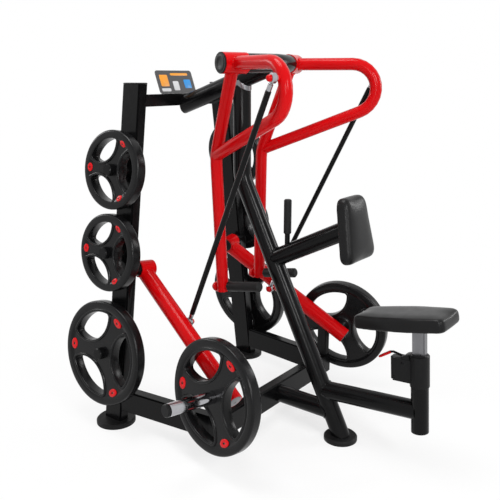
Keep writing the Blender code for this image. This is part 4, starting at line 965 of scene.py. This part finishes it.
def leg_collar():
    """Bright saddle where the leg meets the underside of the spine."""
    slope = (SPINE_END_Z - SPINE_START_Z) / (HEAD_Y - SPINE_BACK_Y)
    rings = []
    for radius, drop in COLLAR_RINGS:
        ring = []
        for x, y, _ in circle(radius, 0.0, COLLAR_STEPS):
            under = math.sqrt(max(0.0, (TUBE_RADIUS + GAP) ** 2 - min(abs(x), TUBE_RADIUS) ** 2))
            top = spine_z(LEG_TOP_Y + y) - under * math.hypot(1.0, slope)
            ring.append((x, LEG_TOP_Y + y, top - COLLAR_SET - drop))
        rings.append(ring)
    shape = bmesh.new()
    loft(shape, rings + rings[:1], closed_ends=False)
    bmesh.ops.remove_doubles(shape, verts=shape.verts, dist=1e-6)
    piece("leg_collar", shape, BRUSHED, "frame", sharp=COLLAR_SHARP_TURN)


def placard_print():
    """Plain colour panels on the placard."""
    up = Vector((0, math.sin(PLACARD_TILT), math.cos(PLACARD_TILT)))
    face = Vector((0, -math.cos(PLACARD_TILT), math.sin(PLACARD_TILT)))
    base = Vector((0, POST_Y + PLACARD_SET_BACK, TOP_BAR_TOP + GAP))
    middle = base + up * (PLACARD_TALL / 2 + PLACARD_THICK / 2 * math.tan(PLACARD_TILT))
    middle += face * (PLACARD_THICK / 2 + PANEL_SET)
    turn = Matrix.Translation(middle) @ Matrix((ACROSS, up, face)).transposed().to_4x4()
    for name, colour, x, y, wide, tall in PANELS:
        rings = []
        for grow, height in PANEL_RINGS:
            plan = rounded_rectangle(wide, tall, PANEL_CORNER, grow)
            rings.append([(x + px, y + py, height) for px, py in plan])
        shape = bmesh.new()
        loft(shape, rings)
        piece("placard_" + name, shape, print_panel("print_" + name, colour), "frame", turn)


# Weld beads

WELD_STEPS, WELD_SET = 36, 0.001
FRAME_WELD, ARM_WELD = 0.0042, 0.0034
WELD_UPRIGHT = (0.3, 0.2, 1.0)


def tube_weld(name, origin, axis, radius, other, other_axis, other_radius, finish, body, size):
    """Weld bead round a tube where it meets another tube."""
    axis, other_axis = axis.normalized(), other_axis.normalized()
    turn = axes_from(axis, WELD_UPRIGHT)
    points = []
    for x, y, _ in circle(radius, 0.0, WELD_STEPS):
        start = origin + turn @ Vector((x, y, 0.0)) - other
        across = start - other_axis * start.dot(other_axis)
        way = axis - other_axis * axis.dot(other_axis)
        a, b = way.dot(way), 2 * across.dot(way)
        c = across.dot(across) - (other_radius + WELD_SET) ** 2
        reach = (-b + math.sqrt(max(0.0, b * b - 4 * a * c))) / (2 * a)
        points.append(other + start + axis * reach)
    bead(name, points, size, finish, body)


def welds():
    """Weld beads at the joints of the round tubes."""
    leg_axis = Vector((0, LEG_SLOPE, 1.0))
    seat_axis = Vector((0, -math.cos(SEAT_BEAM_RISE), math.sin(SEAT_BEAM_RISE)))
    for name, height, axis in (("chest_beam", CHEST_BEAM_HEIGHT, CHEST_AXIS),
                               ("center_beam", CENTER_BEAM_HEIGHT, Vector((0, 1, 0))),
                               ("seat_beam_leg", SEAT_BEAM_HEIGHT, seat_axis)):
        tube_weld("weld_" + name, leg_point(height), axis, TUBE_RADIUS, leg_point(0.0), leg_axis, TUBE_RADIUS,
                  BLACK, "frame", FRAME_WELD)
    for label, side in SIDES:
        centre, axis, forward = arm_frame(side)
        kink = centre - forward * ARM_KINK_BACK - UP * ARM_KINK_DROP
        for name, way in (("arm_bar_", kink - centre), ("arm_loop_", toed_forward(side, LOOP_TOE))):
            tube_weld("weld_" + name + label, centre, way, ARM_TUBE_RADIUS, centre, axis, HUB_RADIUS, RED,
                      "arm_" + label, ARM_WELD)


# Stage, light and camera

CAMERA_PLACE, CAMERA_TURN = (-2.25353, -1.57372, 1.47894), (75.494, 0.0, -52.586)
CAMERA_LENS, CAMERA_SENSOR = 48.404, 36.0
WHITE, FLOOR_COLOUR = (1.0, 1.0, 1.0, 1.0), (0.96, 0.96, 0.96, 1.0)
WORLD_LIGHT = 0.28
FLOOR_SIZE, FLOOR_DROP, FLOOR_NEAR, FLOOR_FAR = 40.0, 0.0005, -3.0, 2.0
# Name, place, target, power in watts, width and height
LAMPS = (("key", (-1.6, -4.1, 2.9), (0, 0, 0.8), 102.0, 0.8, 1.6),
         ("top", (-0.6, 0.4, 4.6), (0, 0, 0.5), 90.0, 1.7, 1.7),
         ("fill", (3.6, -2.6, 2.4), (0, 0, 0.7), 50.0, 1.0, 1.5),
         ("back", (-1.6, 4.2, 2.6), (0, 0, 0.8), 45.0, 1.0, 1.5),
         ("glint", (-3.6, -2.6, 1.9), (0, 0, 0.7), 52.0, 0.20, 1.8))


def seen_directly(tree):
    """1 for camera, glossy and transmission rays."""
    path = add_node(tree, "LightPath").outputs
    total = path["Is Camera Ray"]
    for key in ("Is Glossy Ray", "Is Transmission Ray"):
        total = add_node(tree, "Math", {0: total, 1: path[key]}, operation="MAXIMUM").outputs["Value"]
    return total


def studio_world():
    """World that lights the object softly and is plain white where it is seen directly."""
    scene = bpy.context.scene
    scene.view_settings.view_transform = "Standard"
    world = bpy.data.worlds.new("studio")
    world.use_nodes = True
    scene.world = world
    tree = world.node_tree
    light = tree.nodes["Background"]
    light.inputs["Color"].default_value = WHITE
    light.inputs["Strength"].default_value = WORLD_LIGHT
    white = add_node(tree, "Background", {"Color": WHITE, "Strength": 1.0})
    mix = add_node(tree, "MixShader", {0: seen_directly(tree), 1: light.outputs[0], 2: white.outputs[0]})
    tree.links.new(mix.outputs[0], tree.nodes["World Output"].inputs["Surface"])


def studio_floor():
    """Pale floor that keeps the shadow and fades to white with distance."""
    half = FLOOR_SIZE / 2
    corners = [(-half, -half, 0), (half, -half, 0), (half, half, 0), (-half, half, 0)]
    mesh = bpy.data.meshes.new("floor")
    mesh.from_pydata(corners, [], [(0, 1, 2, 3)])
    floor = bpy.data.objects.new("floor", mesh)
    floor.location = (0, 0, -FLOOR_DROP)
    bpy.context.scene.collection.objects.link(floor)
    pale = bpy.data.materials.new("pale_floor")
    pale.use_nodes = True
    mesh.materials.append(pale)
    tree = pale.node_tree
    tree.nodes.remove(tree.nodes["Principled BSDF"])
    matt = add_node(tree, "BsdfDiffuse", {"Color": FLOOR_COLOUR})
    glow = add_node(tree, "Emission", {"Strength": 1.0})
    place = add_node(tree, "TexCoord").outputs["Object"]
    length = add_node(tree, "VectorMath", {0: place}, operation="LENGTH").outputs["Value"]
    fade = add_node(tree, "MapRange", {"Value": length, "From Min": FLOOR_NEAR, "From Max": FLOOR_FAR},
                    interpolation_type="SMOOTHSTEP").outputs["Result"]
    far = add_node(tree, "Math", {0: fade, 1: seen_directly(tree)}, operation="MULTIPLY").outputs["Value"]
    mix = add_node(tree, "MixShader", {0: far, 1: matt.outputs[0], 2: glow.outputs[0]})
    tree.links.new(mix.outputs[0], tree.nodes["Material Output"].inputs["Surface"])


def lamps():
    """Soft rectangular lamps, each aimed at a point, with a narrow one for highlights."""
    for name, place, target, power, width, height in LAMPS:
        light = bpy.data.lights.new(name, "AREA")
        light.energy = power
        light.shape = "RECTANGLE"
        light.size = width
        light.size_y = height
        made = bpy.data.objects.new(name, light)
        made.location = place
        made.rotation_mode = "QUATERNION"
        made.rotation_quaternion = (Vector(target) - Vector(place)).to_track_quat("-Z", "Y")
        bpy.context.scene.collection.objects.link(made)


def photo_camera():
    """The camera of the photograph."""
    data = bpy.data.cameras.new("camera")
    data.lens = CAMERA_LENS
    data.sensor_width = CAMERA_SENSOR
    camera = bpy.data.objects.new("camera", data)
    camera.location = CAMERA_PLACE
    camera.rotation_euler = [math.radians(a) for a in CAMERA_TURN]
    bpy.context.scene.collection.objects.link(camera)
    bpy.context.scene.camera = camera


dress_nodes()
plates()
cushions()
rod_fittings()
hub_details()
release_lever()
adjuster_trim()
post_caps()
leg_collar()
placard_print()
welds()
studio_world()
studio_floor()
lamps()
photo_camera()
